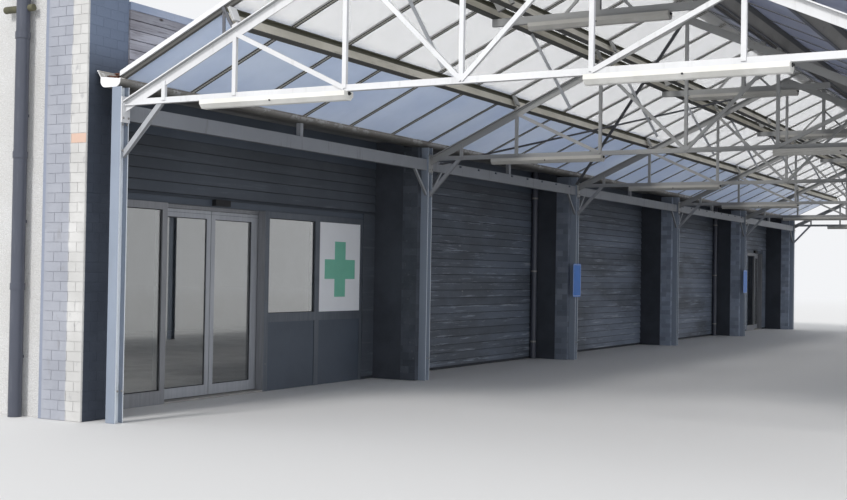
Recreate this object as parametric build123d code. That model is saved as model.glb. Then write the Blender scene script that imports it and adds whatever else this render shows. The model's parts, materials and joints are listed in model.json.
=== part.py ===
from build123d import *
import os
from math import atan, atan2, cos, degrees, hypot, sin, tan

# All sizes are in millimetres. X runs along the front, Y runs into the building, Z is up.
# While the pieces are made, X = 0 and Y = 0 lie on the first column of the wall row at ground level.

# Canopy grid
bay_lengths = [6400, 5700, 6100, 5900, 5800]
span = 7680
column_size = 120
column_flange = 11
column_web = 7
column_height = 3360

# Tie beams between the columns; a drop is measured down from the column tops
beam_depth = 160
beam_width = 70
beam_plate = 9
beam_drop = 170

# Trusses
heel_drop = 230
ridge_rise = 1780
chord_depth = 100
chord_flange = 100
chord_plate = 12
bottom_chord_drop = 160
bottom_chord_depth = 62
bottom_chord_flange = 60
bottom_chord_plate = 10
web_depth = 42
web_thickness = 36
node_shares = [0.146, 0.37, 0.692]
heel_plate_height = 260
heel_plate = 12
purlin_seat_size = 60
purlin_seat_height = 30

# Braces at the columns
brace_depth = 50
brace_thickness = 40
knee_drop = 675
knee_reach = 460
side_brace_depth = 34
side_brace_drop = 670
side_brace_reach = 330

# Roof of the canopy
purlin_depth = 190
purlin_width = 60
purlin_plate = 10
purlin_shares = [0.372, 0.689, 0.742]
bars_per_bay = 6
bar_width = 80
bar_flange = 5
bar_web = 10
bar_cap_width = 60
bar_cap = 4
sheet_thickness = 16
sheet_clearance = 3
verge_width = 42
verge_step = 40
verge_height = 85
ridge_opening = 26
ridge_cap_reach = 170
ridge_cap_thickness = 4

# Flats that hang down from the inner upper purlin of the wall slope
hanger_width = 35
hanger_plate_thickness = 12
hanger_drop = 920
hanger_lean = 510
hanger_offset = 1000

# Bracing in the second bay: where each flat meets the trusses, as distances from the columns
upper_flat_ends = [3840, 0]
lower_flat_ends = [0, 3680]
bracing_clearance = 110
bracing_width = 70
bracing_plate = 8

# Gutters
gutter_width = 260
gutter_setback = 42
gutter_front_depth = 80
gutter_back_depth = 110
gutter_plate = 6
gutter_radius = 65
gutter_lip_reach = 50
gutter_lip_rise = 70
gutter_overhang = 60
gutter_post_size = 60

# Lamps and the rails that carry the mid-bay ones
lamp_length = 1640
lamp_width = 150
lamp_height = 80
lamp_side_height = 42
lamp_bottom_share = 0.5
lamp_places = [0.245, 0.755]
rail_depth = 85
rail_width = 50
rail_end = 65
rail_lamp_length = 1600
rail_post_size = 56
rail_strut_depth = 30
rail_strut_thickness = 24
rail_strut_reach = 375
rail_strut_rise = 350

# Building shell
recess_depth = 780
pier_front = 60
pier_depth = 240
pier_half_width = 155
return_half_width = 155
wall_thickness = 250
front_wall_thickness = 200
soffit_rise = 90
deck_thickness = 200
parapet_rise = 600
parapet_thickness = 200
corner_rise = 500
corner_width = 580
corner_depth = 585
end_wall_setback = 60
building_depth = 11700
coping_height = 90
coping_overhang = 30
coping_joint = 6
floor_thickness = 20

# Main entrance, places along the front
entrance_left = 230
side_pane_width = 926
door_stile = 86
half_door_width = 944
leaf_overlap = 38
jamb_width = 96
window_width = 1063
window_mullion = 106
sign_width = 1052
entrance_head = 2390
frame_top = 2305
strip_groove = 10
frame_depth = 110
frame_face = 60
bottom_rail_top = 157
window_sill_bottom = 881
window_sill_top = 996
window_head = 2225
panel_inset = 10
panel_thickness = 50
sign_inset = 8
sign_thickness = 24
leaf_top = 2255
header_gap = 6
header_depth = 120
slot_width = 22
slot_depth = 34
hanger_plate = 8
hanger_length = 60
hanger_inset = 160
seat_gap = 0.3
leaf_ground_gap = 10
leaf_depth = 36
leaf_stile = 75
leaf_outer_stile = 165
leaf_bottom_rail = 122
leaf_top_rail = 95
leaf_gap = 10
glass_thickness = 10
pane_inset = 24
running_gap = 12
sensor_width = 290
sensor_height = 75
sensor_depth = 60

# Far door, places measured back from the last column
far_door_end = 600
far_pane_width = 830
far_leaf_width = 870

# Small pieces on the front
pipe_diameter = 110
end_pipe_diameter = 140
pipe_gap = 25
clip_height = 30
pipe_clip_heights = [600, 2000, 3100]
end_pipe_setback = 295
collar_height = 70
collar_wall = 7
collar_heights = [1340, 2700, 3940]
plate_width = 380
plate_height = 610
plate_thickness = 3
plate_corner = 40
plate_centre_height = 1460

# Worked-out places
column_places = [sum(bay_lengths[:i]) for i in range(len(bay_lengths) + 1)]
canopy_length = column_places[-1]
half_column = column_size / 2
king = span / 2
heel_height = column_height - heel_drop
ridge_height = heel_height + ridge_rise
slope = atan(ridge_rise / king)
purlin_low = chord_depth / 2 + purlin_seat_height
purlin_high = purlin_low + purlin_depth
beam_top = column_height - beam_drop
beam_bottom = beam_top - beam_depth
bottom_chord_height = column_height - bottom_chord_drop
knee_foot = column_height - knee_drop
side_brace_foot = column_height - side_brace_drop
wall_left = -pier_half_width
wall_right = canopy_length + pier_half_width
shell_left = wall_left + end_wall_setback
shell_right = wall_right
recess_front = recess_depth
shell_front = pier_front + pier_depth
shell_back = shell_front + building_depth
soffit_height = column_height + soffit_rise
deck_top = soffit_height + deck_thickness
parapet_top = deck_top + parapet_rise
corner_top = parapet_top + corner_rise

# Places along the front of the main entrance
left_jamb = wall_left + corner_width
side_left = left_jamb + entrance_left
door_left = side_left + side_pane_width + door_stile
door_right = door_left + 2 * half_door_width
window_left = door_right + jamb_width
window_right = window_left + window_width
sign_left = window_right + window_mullion
sign_right = sign_left + sign_width
far_right = canopy_length - far_door_end
far_middle = far_right - far_leaf_width
far_left = far_middle - far_pane_width


def block(x, y, z):
    """A box given by its low and high values along each axis."""
    size = [high - low for low, high in (x, y, z)]
    centre = [(high + low) / 2 for low, high in (x, y, z)]
    return Pos(*centre) * Box(*size)


def side_profile(points, x_low, x_high):
    """A shape drawn in the YZ plane and carried along X."""
    face = Plane.YZ * make_face(Polyline(*points, close=True))
    return Pos(x_low, 0, 0) * extrude(face, amount=x_high - x_low)


def front_profile(points, y_low, y_high):
    """A shape drawn in the XZ plane and carried along Y."""
    face = Plane.XZ * make_face(Polyline(*points, close=True))
    return Pos(0, y_high, 0) * extrude(face, amount=y_high - y_low)


def plan_profile(points, z_low, z_high):
    """A shape drawn on the ground and carried up."""
    face = make_face(Polyline(*points, close=True))
    return Pos(0, 0, z_low) * extrude(face, amount=z_high - z_low)


def mirrored(shape):
    """The same piece on the other slope, mirrored about the ridge."""
    return mirror(shape, about=Plane(origin=(0, -king, 0), z_dir=(0, 1, 0)))


def both_slopes(shapes):
    return shapes + [mirrored(shape) for shape in shapes]


def group(shapes):
    return Compound(children=list(shapes))


def slope_point(reach, height):
    """A point on the wall slope: its distance from the column line, and its height square to the chord."""
    return (-reach + height * sin(slope), heel_height + reach * tan(slope) + height * cos(slope))


def slope_height(reach, height):
    """How high a plane that lies square above the chord's centre line is at a distance from the columns."""
    return heel_height + reach * tan(slope) + height / cos(slope)


def slope_strip(reach_low, reach_high, height_low, height_high, x_low, x_high):
    """A strip that lies along the slope, with upright ends."""
    points = [
        (-reach_low, slope_height(reach_low, height_low)),
        (-reach_high, slope_height(reach_high, height_low)),
        (-reach_high, slope_height(reach_high, height_high)),
        (-reach_low, slope_height(reach_low, height_high)),
    ]
    return side_profile(points, x_low, x_high)


def side_bar(start, end, depth, thickness):
    """A straight bar in the YZ plane, centred on X = 0."""
    length = hypot(end[0] - start[0], end[1] - start[1])
    angle = degrees(atan2(end[1] - start[1], end[0] - start[0]))
    middle = Pos(0, (start[0] + end[0]) / 2, (start[1] + end[1]) / 2)
    return middle * Rot(angle, 0, 0) * Box(thickness, length, depth)


def brace_outline(foot, head, side_line, top_line, depth):
    """A sloping brace, cut upright where it meets a column and level where it meets a beam."""
    angle = atan2(head[1] - foot[1], abs(head[0] - foot[0]))
    way = 1 if head[0] > foot[0] else -1
    rise = depth / 2 / cos(angle)
    run = depth / 2 / sin(angle)
    foot_height = head[1] - abs(head[0] - side_line) * tan(angle)
    return [
        (side_line, foot_height - rise),
        (head[0] + way * run, top_line),
        (head[0] - way * run, top_line),
        (side_line, foot_height + rise),
    ]


# Columns: H-sections with their flanges square to the front
def column(x, y):
    half = half_column
    inner = half - column_flange
    web = column_web / 2
    points = [
        (-half, -half), (-inner, -half), (-inner, -web), (inner, -web), (inner, -half), (half, -half),
        (half, half), (inner, half), (inner, web), (-inner, web), (-inner, half), (-half, half),
    ]
    return Pos(x, y, 0) * plan_profile(points, 0, column_height)


def column_row(y):
    return group(column(x, y) for x in column_places)


# Tie beams: channels whose web shows at the front
def tie_beam(x_low, x_high, y_centre, way):
    web_face = -way * beam_width / 2
    open_face = way * beam_width / 2
    inner = web_face + way * beam_plate
    points = [
        (y_centre + web_face, beam_bottom), (y_centre + open_face, beam_bottom),
        (y_centre + open_face, beam_bottom + beam_plate), (y_centre + inner, beam_bottom + beam_plate),
        (y_centre + inner, beam_top - beam_plate), (y_centre + open_face, beam_top - beam_plate),
        (y_centre + open_face, beam_top), (y_centre + web_face, beam_top),
    ]
    return side_profile(points, x_low, x_high)


def tie_beams():
    beams = []
    for left, right in zip(column_places, column_places[1:]):
        for y_centre, way in ((0, 1), (-span, -1)):
            beams.append(tie_beam(left + half_column, right - half_column, y_centre, way))
    return group(beams)


# Trusses
def truss_half():
    half_depth = chord_depth / 2
    end = half_column
    half_flange = chord_flange / 2
    flange = slope_strip(end, king, half_depth - chord_plate, half_depth, -half_flange, half_flange)
    stem = slope_strip(end, king, -half_depth, half_depth, -chord_plate / 2, chord_plate / 2)
    low = bottom_chord_height - bottom_chord_depth / 2
    high = low + bottom_chord_depth
    wide = bottom_chord_flange / 2
    tie_flange = block((-wide, wide), (-king, -end), (low, low + bottom_chord_plate))
    tie_stem = block((-chord_plate / 2, chord_plate / 2), (-king, -end), (low, high))
    plate_low = heel_height - heel_plate_height / 2
    plate_heights = (plate_low, plate_low + heel_plate_height)
    plate = block((-half_column, half_column), (-end - heel_plate, -end), plate_heights)
    pieces = [flange, stem, tie_flange, tie_stem, plate]
    reaches = [share * king for share in node_shares]
    for reach in reaches:
        foot = (-reach, bottom_chord_height)
        head = (-reach, slope_height(reach, 0))
        pieces.append(side_bar(foot, head, web_depth, web_thickness))
    for upper, lower in ((reaches[1], reaches[2]), (reaches[2], king)):
        head = (-upper, slope_height(upper, 0))
        foot = (-lower, bottom_chord_height)
        pieces.append(side_bar(head, foot, web_depth, web_thickness))
    half_seat = purlin_seat_size / 2
    for share in purlin_shares:
        low, high = share * king - half_seat, share * king + half_seat
        pieces.append(slope_strip(low, high, half_depth, purlin_low, -half_seat, half_seat))
    half = pieces[0]
    for piece in pieces[1:]:
        half = half + piece
    room = block((-span, span), (-king, 0), (0, ridge_height + span))
    return half & room


def truss():
    half = truss_half()
    foot = (-king, bottom_chord_height)
    head = (-king, slope_height(king, 0))
    king_post = side_bar(foot, head, web_depth, web_thickness)
    return half + mirrored(half) + king_post


# Knee braces under the trusses and small braces beside the columns
def canopy_braces():
    pieces = []
    chord_low = bottom_chord_height - bottom_chord_depth / 2
    foot = (-half_column, knee_foot)
    head = (-half_column - knee_reach, chord_low)
    outline = brace_outline(foot, head, -half_column, chord_low, brace_depth)
    knee = side_profile(outline, -brace_thickness / 2, brace_thickness / 2)
    for x in column_places:
        pieces += both_slopes([Pos(x, 0, 0) * knee])
    half_beam = beam_width / 2
    for number, x in enumerate(column_places):
        for way in (-1, 1):
            outer = (number == 0 and way < 0) or (number == len(column_places) - 1 and way > 0)
            if outer:
                continue
            face = x + way * half_column
            head = (x + way * (half_column + side_brace_reach), beam_bottom)
            outline = brace_outline((face, side_brace_foot), head, face, beam_bottom, side_brace_depth)
            for y in (0, -span):
                low = y - half_beam
                pieces.append(front_profile(outline, low, low + side_brace_depth))
    for y_face in (0, -span - gutter_post_size):
        for left, right in zip(column_places, column_places[1:]):
            middle = (left + right) / 2
            span_x = (middle - gutter_post_size / 2, middle + gutter_post_size / 2)
            pieces.append(block(span_x, (y_face, y_face + gutter_post_size), (beam_top, column_height)))
    return group(pieces + hangers())


def hangers():
    """Flats that hang from the inner upper purlin, one past each truss and one past each rail."""
    reach = purlin_shares[1] * king
    across = hanger_width / 2 * cos(slope)
    heads = [slope_point(reach + way * across, purlin_low) for way in (1, -1)]
    feet = [(y - hanger_lean, z - hanger_drop) for y, z in reversed(heads)]
    half = hanger_plate_thickness / 2
    flats = []
    for x in column_places[:-1] + rail_places():
        place = x + hanger_offset
        flats.append(side_profile(heads + feet, place - half, place + half))
    return flats


# Purlins, glazing bars, sheets and ridge cap
def purlin(share):
    reach = share * king
    low = purlin_low
    high = purlin_high
    half = purlin_width / 2
    plate = purlin_plate
    web = purlin_plate / 2
    outline = [
        (-half, low), (half, low), (half, low + plate), (web, low + plate),
        (web, high - plate), (half, high - plate), (half, high), (-half, high),
        (-half, high - plate), (-web, high - plate), (-web, low + plate), (-half, low + plate),
    ]
    points = [slope_point(reach + across * cos(slope), height) for across, height in outline]
    return side_profile(points, 0, canopy_length)


def purlins():
    return group(both_slopes([purlin(share) for share in purlin_shares]))


def bar_places():
    places = []
    for left, right in zip(column_places, column_places[1:]):
        step = (right - left) / bars_per_bay
        places += [left + step * i for i in range(bars_per_bay)]
    return places + [canopy_length]


bar_seat = purlin_high + bar_flange
sheet_high = bar_seat + sheet_thickness
bar_high = sheet_high + bar_cap
verge_high = purlin_high + verge_height
slope_reach = king - ridge_opening / 2


def slope_section(x, strips):
    """A bar that runs up the slope; a strip of its section has two sides, from x, and two heights."""
    pieces = []
    for left, right, low, high in strips:
        pieces.append(slope_strip(0, slope_reach, low, high, x + left, x + right))
    section = pieces[0]
    for piece in pieces[1:]:
        section = section + piece
    return section


def glazing_bar(x):
    half = bar_width / 2
    web = bar_web / 2
    cap = bar_cap_width / 2
    return slope_section(x, [
        (-half, half, purlin_high, bar_seat),
        (-web, web, bar_seat, sheet_high),
        (-cap, cap, sheet_high, bar_high),
    ])


def verge(x, way):
    """The edge trim at an end of the canopy; its upper part stands out over a step."""
    half = verge_width / 2
    step = purlin_high + verge_step
    strips = [
        (0, bar_width / 2, purlin_high, bar_seat),
        (0, half, bar_seat, step),
        (-half, half, step, verge_high),
    ]
    if way < 0:
        strips = [(-right, -left, low, high) for left, right, low, high in strips]
    return slope_section(x, strips)


def glazing_bars():
    first, *inner, last = bar_places()
    bars = [verge(first, 1)] + [glazing_bar(x) for x in inner] + [verge(last, -1)]
    return group(both_slopes(bars))


def roof_sheets():
    sheets = []
    places = bar_places()
    inner = bar_web / 2 + sheet_clearance
    outer = verge_width / 2 + sheet_clearance
    for left, right in zip(places, places[1:]):
        low = left + (outer if left == places[0] else inner)
        high = right - (outer if right == places[-1] else inner)
        sheets.append(slope_strip(0, slope_reach, bar_seat, sheet_high, low, high))
    return group(both_slopes(sheets))


def ridge_cap():
    reach = king - ridge_cap_reach
    cap_high = bar_high + ridge_cap_thickness
    low = [(-reach, slope_height(reach, bar_high)), (-king, slope_height(king, bar_high))]
    high = [(-king, slope_height(king, cap_high)), (-reach, slope_height(reach, cap_high))]
    inset = verge_width / 2 + sheet_clearance
    half = side_profile(low + high, inset, canopy_length - inset)
    return half + mirrored(half)


# Gutters: an open channel with a flat bed, rounded lower corners and a flared lip at the back
def gutter_channel(inset):
    low_y = inset - gutter_setback
    high_y = gutter_width - gutter_setback - inset
    bed = column_height + inset
    front_top = column_height + gutter_front_depth + inset
    back_top = column_height + gutter_back_depth + inset
    radius = gutter_radius - inset
    outline = (
        Line((low_y, front_top), (low_y, bed + radius))
        + RadiusArc((low_y, bed + radius), (low_y + radius, bed), -radius)
        + Line((low_y + radius, bed), (high_y - radius, bed))
        + RadiusArc((high_y - radius, bed), (high_y, bed + radius), -radius)
        + Line((high_y, bed + radius), (high_y, back_top))
        + Line((high_y, back_top), (low_y, front_top))
    )
    face = Plane.YZ * make_face(outline)
    return extrude(face, amount=canopy_length + 2 * (gutter_overhang - inset))


def gutter():
    trough = Pos(-gutter_overhang, 0, 0) * gutter_channel(0)
    hollow = Pos(-gutter_overhang + gutter_plate, 0, 0) * gutter_channel(gutter_plate)
    outer_y = gutter_width - gutter_setback
    inner_y = outer_y - gutter_plate
    low = column_height + gutter_back_depth - gutter_plate
    high = column_height + gutter_back_depth + gutter_lip_rise
    points = [
        (inner_y, low), (outer_y, low),
        (outer_y + gutter_lip_reach, high), (inner_y + gutter_lip_reach, high),
    ]
    return trough - hollow + side_profile(points, -gutter_overhang, canopy_length + gutter_overhang)


def gutters():
    return group(both_slopes([gutter()]))


# Bracing flats in the second bay: one under the flanges of the top chords and one below their stems
def bracing_flat(ends, height, x_low, x_high):
    near, far = [reach / cos(slope) for reach in ends]
    run = x_high - x_low
    turn = degrees(atan2(far - near, run))
    middle_reach = sum(ends) / 2
    y_mid, z_mid = slope_point(middle_reach, height)
    place = Pos((x_low + x_high) / 2, y_mid, z_mid) * Rot(-degrees(slope), 0, 0)
    flat = Rot(0, 0, -turn) * Box(2 * run, bracing_width, bracing_plate)
    low = (bracing_clearance - middle_reach) / cos(slope)
    high = (king - bracing_clearance / 2 - middle_reach) / cos(slope)
    room = Pos(0, -(low + high) / 2, 0) * Box(run, high - low, bracing_plate)
    return place * (flat & room)


def roof_bracing():
    half_stem = chord_plate / 2
    half_flat = bracing_plate / 2
    left, right = column_places[1:3]
    under_flange = chord_depth / 2 - chord_plate - half_flat
    under_stem = -chord_depth / 2 - half_flat
    return group([
        bracing_flat(upper_flat_ends, under_flange, left + half_stem, right - half_stem),
        bracing_flat(lower_flat_ends, under_stem, left - half_stem, right + half_stem),
    ])


# Lamps under the trusses and on mid-bay rails
def lamp_body(length):
    half = lamp_width / 2
    narrow = half * lamp_bottom_share
    points = [
        (-half, 0), (-half, -lamp_side_height), (-narrow, -lamp_height),
        (narrow, -lamp_height), (half, -lamp_side_height), (half, 0),
    ]
    face = Plane.XZ * make_face(Polyline(*points, close=True))
    return Pos(0, length / 2, 0) * extrude(face, amount=length)


def rail_places():
    return [(left + right) / 2 for left, right in zip(column_places, column_places[1:])]


def rail_top():
    """The rails hang under the lower edge of the inner upper purlins."""
    reach = purlin_shares[1] * king - purlin_width / 2 * cos(slope)
    return slope_point(reach, purlin_low)[1]


def strip_lamps():
    lamps = []
    chord_low = bottom_chord_height - bottom_chord_depth / 2
    for x in column_places:
        for share in lamp_places:
            lamps.append(Pos(x, -share * span, chord_low) * lamp_body(lamp_length))
    for x in rail_places():
        lamps.append(Pos(x, -king, rail_top() - rail_depth) * lamp_body(rail_lamp_length))
    return group(lamps)


def lamp_rails():
    """Rails with a post up to the ridge and two struts that steady it."""
    half = rail_width / 2
    half_post = rail_post_size / 2
    high = rail_top()
    end = purlin_shares[1] * king - rail_end
    post_top = slope_height(king - half_post, purlin_high)
    rail = block((-half, half), (end - span, -end), (high - rail_depth, high))
    rail += block((-half, half), (-king - half_post, -king + half_post), (high, post_top))
    run = rail_strut_depth / 2 * hypot(rail_strut_reach, rail_strut_rise) / rail_strut_rise
    points = [
        (-king + rail_strut_reach + run, high), (-king + rail_strut_reach - run, high),
        (-king, high + rail_strut_rise), (-king + 2 * run, high + rail_strut_rise),
    ]
    strut = side_profile(points, -rail_strut_thickness / 2, rail_strut_thickness / 2)
    rail = rail + strut + mirrored(strut)
    return group(Pos(x, 0, 0) * rail for x in rail_places())


# Building shell
def floor_slab():
    inner = (recess_front + front_wall_thickness, shell_back - wall_thickness)
    slab = block((shell_left + wall_thickness, shell_right - wall_thickness), inner, (0, floor_thickness))
    frame_back = recess_front + frame_depth
    for low, high, door_low, door_high in (
        (side_left, sign_right + frame_face, door_left, door_right),
        (far_left - frame_face, far_right + frame_face, far_middle + frame_face / 2, far_right),
    ):
        slab += block((low, high), (frame_back, inner[0]), (0, floor_thickness))
        slab += block((door_low, door_high), (recess_front, frame_back), (0, floor_thickness))
    return slab


def left_wall():
    y_low = shell_front + corner_depth
    return block((shell_left, shell_left + wall_thickness), (y_low, shell_back), (0, corner_top))


def right_wall():
    x = (shell_right - wall_thickness, shell_right)
    return block(x, (recess_front, shell_back), (0, parapet_top))


def rear_wall():
    x = (shell_left + wall_thickness, shell_right - wall_thickness)
    return block(x, (shell_back - wall_thickness, shell_back), (0, parapet_top))


def roof_deck():
    heights = (soffit_height, deck_top)
    behind_pier = shell_front + corner_depth
    behind_parapet = shell_front + parapet_thickness
    right = shell_right - wall_thickness
    left = shell_left + wall_thickness
    main = block((left, right), (behind_pier, shell_back - wall_thickness), heights)
    return main + block((left_jamb, right), (behind_parapet, behind_pier), heights)


def corner_pier():
    return block((wall_left, left_jamb), (shell_front, shell_front + corner_depth), (0, corner_top))


def brick_piers():
    pieces = []
    for x in column_places[1:]:
        sides = (x - pier_half_width, x + pier_half_width)
        pieces.append(block(sides, (pier_front, shell_front), (0, column_height)))
    return group(pieces)


def pier_returns():
    pieces = []
    for x in column_places[1:]:
        sides = (x - return_half_width, x + return_half_width)
        pieces.append(block(sides, (shell_front, recess_front), (0, soffit_height)))
    return group(pieces)


def front_parapet():
    y = (shell_front, shell_front + parapet_thickness)
    return block((left_jamb, wall_right), y, (soffit_height, parapet_top))


# Copings: separate lengths with narrow joints between them
def copings():
    over = coping_overhang
    low = (parapet_top, parapet_top + coping_height)
    high = (corner_top, corner_top + coping_height)
    front_y = (shell_front - over, shell_front + parapet_thickness + over)
    rear_y = (shell_back - wall_thickness - over, shell_back + over)
    pier_y = (shell_front - over, shell_front + corner_depth + over)
    right_x = (shell_right - wall_thickness - over, shell_right + over)
    left_x = (shell_left - over, shell_left + wall_thickness + over)
    behind_front = front_y[1] + coping_joint
    behind_pier = pier_y[1] + coping_joint
    return group([
        block((left_jamb, right_x[1]), front_y, low),
        block(right_x, (behind_front, rear_y[1]), low),
        block((shell_left + wall_thickness, right_x[0] - coping_joint), rear_y, low),
        block((wall_left - over, left_jamb + over), pier_y, high),
        block(left_x, (behind_pier, shell_back + over), high),
    ])


def wall_y():
    return (recess_front, recess_front + front_wall_thickness)


def front_walls():
    pieces = []
    for left, right in zip(column_places[1:-2], column_places[2:-1]):
        pieces.append(block((left, right), wall_y(), (0, soffit_height)))
    return group(pieces)


def door_bay_walls():
    pieces = []
    behind_pier = (shell_front + corner_depth, recess_front + front_wall_thickness)
    pieces.append(block((left_jamb, column_places[1]), wall_y(), (entrance_head, soffit_height)))
    pieces.append(block((left_jamb, side_left), wall_y(), (0, entrance_head)))
    pieces.append(block((sign_right + frame_face, column_places[1]), wall_y(), (0, entrance_head)))
    end = shell_right - wall_thickness
    pieces.append(block((column_places[-2], end), wall_y(), (entrance_head, soffit_height)))
    pieces.append(block((column_places[-2], far_left - frame_face), wall_y(), (0, entrance_head)))
    pieces.append(block((far_right + frame_face, end), wall_y(), (0, entrance_head)))
    pieces.append(block((shell_left + wall_thickness, left_jamb), behind_pier, (0, soffit_height)))
    return group(pieces)


frame_y = (recess_front, recess_front + frame_depth)


def door_posts():
    half = frame_face / 2
    ranges = [
        (side_left, side_left + frame_face),
        (door_left - door_stile, door_left),
        (door_right, window_left),
        (window_right, sign_left),
        (sign_right, sign_right + frame_face),
        (far_left - frame_face, far_left),
        (far_middle - half, far_middle + half),
        (far_right, far_right + frame_face),
    ]
    return group(block(x, frame_y, (0, frame_top)) for x in ranges)


def door_rails():
    side = (side_left + frame_face, door_left - door_stile)
    window = (window_left, window_right)
    sign = (sign_left, sign_right)
    far_pane = (far_left, far_middle - frame_face / 2)
    rails = [block(x, frame_y, (0, bottom_rail_top)) for x in (side, far_pane)]
    rails += [block(x, frame_y, (window_sill_bottom, window_sill_top)) for x in (window, sign)]
    rails += [block(x, frame_y, (window_head, frame_top)) for x in (side, window, sign, far_pane)]
    return group(rails)


def head_strips():
    """Grooved strips that close the front between the frames and the wall above them."""
    low = frame_top
    high = entrance_head
    front, back = frame_y
    groove = strip_groove
    points = [
        (front + groove, low), (back, low), (back, high), (front + groove, high),
        (front + groove, high - groove), (front, high - groove),
        (front, low + groove), (front + groove, low + groove),
    ]
    ranges = [(side_left, sign_right + frame_face), (far_left - frame_face, far_right + frame_face)]
    return group(side_profile(points, *x) for x in ranges)


def lower_panels():
    panel_y = (recess_front + panel_inset, recess_front + panel_inset + panel_thickness)
    left = block((window_left, window_right), panel_y, (0, window_sill_bottom))
    right = block((sign_left, sign_right), panel_y, (0, window_sill_bottom))
    return group([left, right])


def sign_panel():
    y_low = recess_front + sign_inset
    return block((sign_left, sign_right), (y_low, y_low + sign_thickness), (window_sill_top, window_head))


def pane(x_low, x_high, z_low, z_high):
    front = recess_front + pane_inset
    return block((x_low, x_high), (front, front + glass_thickness), (z_low, z_high))


def fixed_glass():
    return group([
        pane(side_left + frame_face, door_left - door_stile, bottom_rail_top, window_head),
        pane(window_left, window_right, window_sill_top, window_head),
        pane(far_left, far_middle - frame_face / 2, bottom_rail_top, window_head),
    ])


# Sliding leaves hang behind the frame on hangers that run in a slotted header
leaf_front = recess_front + frame_depth + running_gap
leaf_y = (leaf_front, leaf_front + leaf_depth)
leaf_centre = leaf_front + leaf_depth / 2
leaf_low = floor_thickness + leaf_ground_gap
glass_low = leaf_low + leaf_bottom_rail
glass_high = leaf_top - leaf_top_rail
header_low = leaf_top + header_gap
slot_top = header_low + slot_depth
door_middle = (door_left + door_right) / 2
left_leaf_x = (door_left - leaf_overlap, door_middle - leaf_gap / 2)
right_leaf_x = (door_middle + leaf_gap / 2, door_right + leaf_overlap)
far_leaf_x = (far_middle - leaf_overlap, far_right + leaf_overlap)
left_stiles = (leaf_outer_stile, leaf_stile)
right_stiles = (leaf_stile, leaf_outer_stile)
far_stiles = (leaf_stile, leaf_stile)


def leaf_frame(x_range, stiles):
    x_low, x_high = x_range
    frame = block(x_range, leaf_y, (leaf_low, leaf_top))
    frame -= block((x_low + stiles[0], x_high - stiles[1]), leaf_y, (glass_low, glass_high))
    hanger_y = (leaf_centre - hanger_plate / 2, leaf_centre + hanger_plate / 2)
    for x in (x_low + hanger_inset, x_high - hanger_inset):
        hanger_x = (x - hanger_length / 2, x + hanger_length / 2)
        frame += block(hanger_x, hanger_y, (leaf_top, slot_top - seat_gap))
    return frame


def leaf_glass(x_range, stiles):
    x_low, x_high = x_range
    glass_y = (leaf_centre - glass_thickness / 2, leaf_centre + glass_thickness / 2)
    return block((x_low + stiles[0], x_high - stiles[1]), glass_y, (glass_low, glass_high))


def door_headers():
    y = (recess_front + frame_depth, recess_front + frame_depth + header_depth)
    slot_y = (leaf_centre - slot_width / 2, leaf_centre + slot_width / 2)
    right_end = door_right + half_door_width + leaf_overlap
    pieces = []
    for x in ((side_left, right_end), (far_left - frame_face, far_right + leaf_overlap)):
        header = block(x, y, (header_low, entrance_head))
        pieces.append(header - block(x, slot_y, (header_low, slot_top)))
    return group(pieces)


def door_sensors():
    low = frame_top + strip_groove
    y = (recess_front - sensor_depth, recess_front)
    pieces = []
    for x in (door_middle, far_middle):
        pieces.append(block((x - sensor_width / 2, x + sensor_width / 2), y, (low, low + sensor_height)))
    return group(pieces)


def downpipe(x, y, radius, top):
    return Pos(x, y, top / 2) * Cylinder(radius, top)


def downpipes():
    pieces = []
    radius = pipe_diameter / 2
    half_clip = clip_height / 2
    y = recess_front - pipe_gap - radius
    for x_column in (column_places[2], column_places[4]):
        x = x_column - return_half_width - pipe_gap - radius
        pipe = downpipe(x, y, radius, soffit_height)
        for height in pipe_clip_heights:
            clip_x = (x - half_clip, x + half_clip)
            pipe = pipe + block(clip_x, (y, recess_front), (height, height + clip_height))
        pieces.append(pipe)
    radius = end_pipe_diameter / 2
    x = shell_left - pipe_gap - radius
    y = shell_front + corner_depth + end_pipe_setback
    pipe = downpipe(x, y, radius, corner_top)
    for height in collar_heights:
        pipe = pipe + Pos(x, y, height) * Cylinder(radius + collar_wall, collar_height)
    for height in pipe_clip_heights:
        clip_y = (y - half_clip, y + half_clip)
        pipe = pipe + block((x, shell_left), clip_y, (height, height + clip_height))
    pieces.append(pipe)
    return group(pieces)


def column_plates():
    pieces = []
    low = plate_centre_height - plate_height / 2
    for x in (column_places[2], column_places[4]):
        plate_x = (x - plate_width / 2, x + plate_width / 2)
        plate_y = (-half_column - plate_thickness, -half_column)
        plate = block(plate_x, plate_y, (low, low + plate_height))
        pieces.append(fillet(plate.edges().filter_by(Axis.Y), plate_corner))
    return group(pieces)


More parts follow.
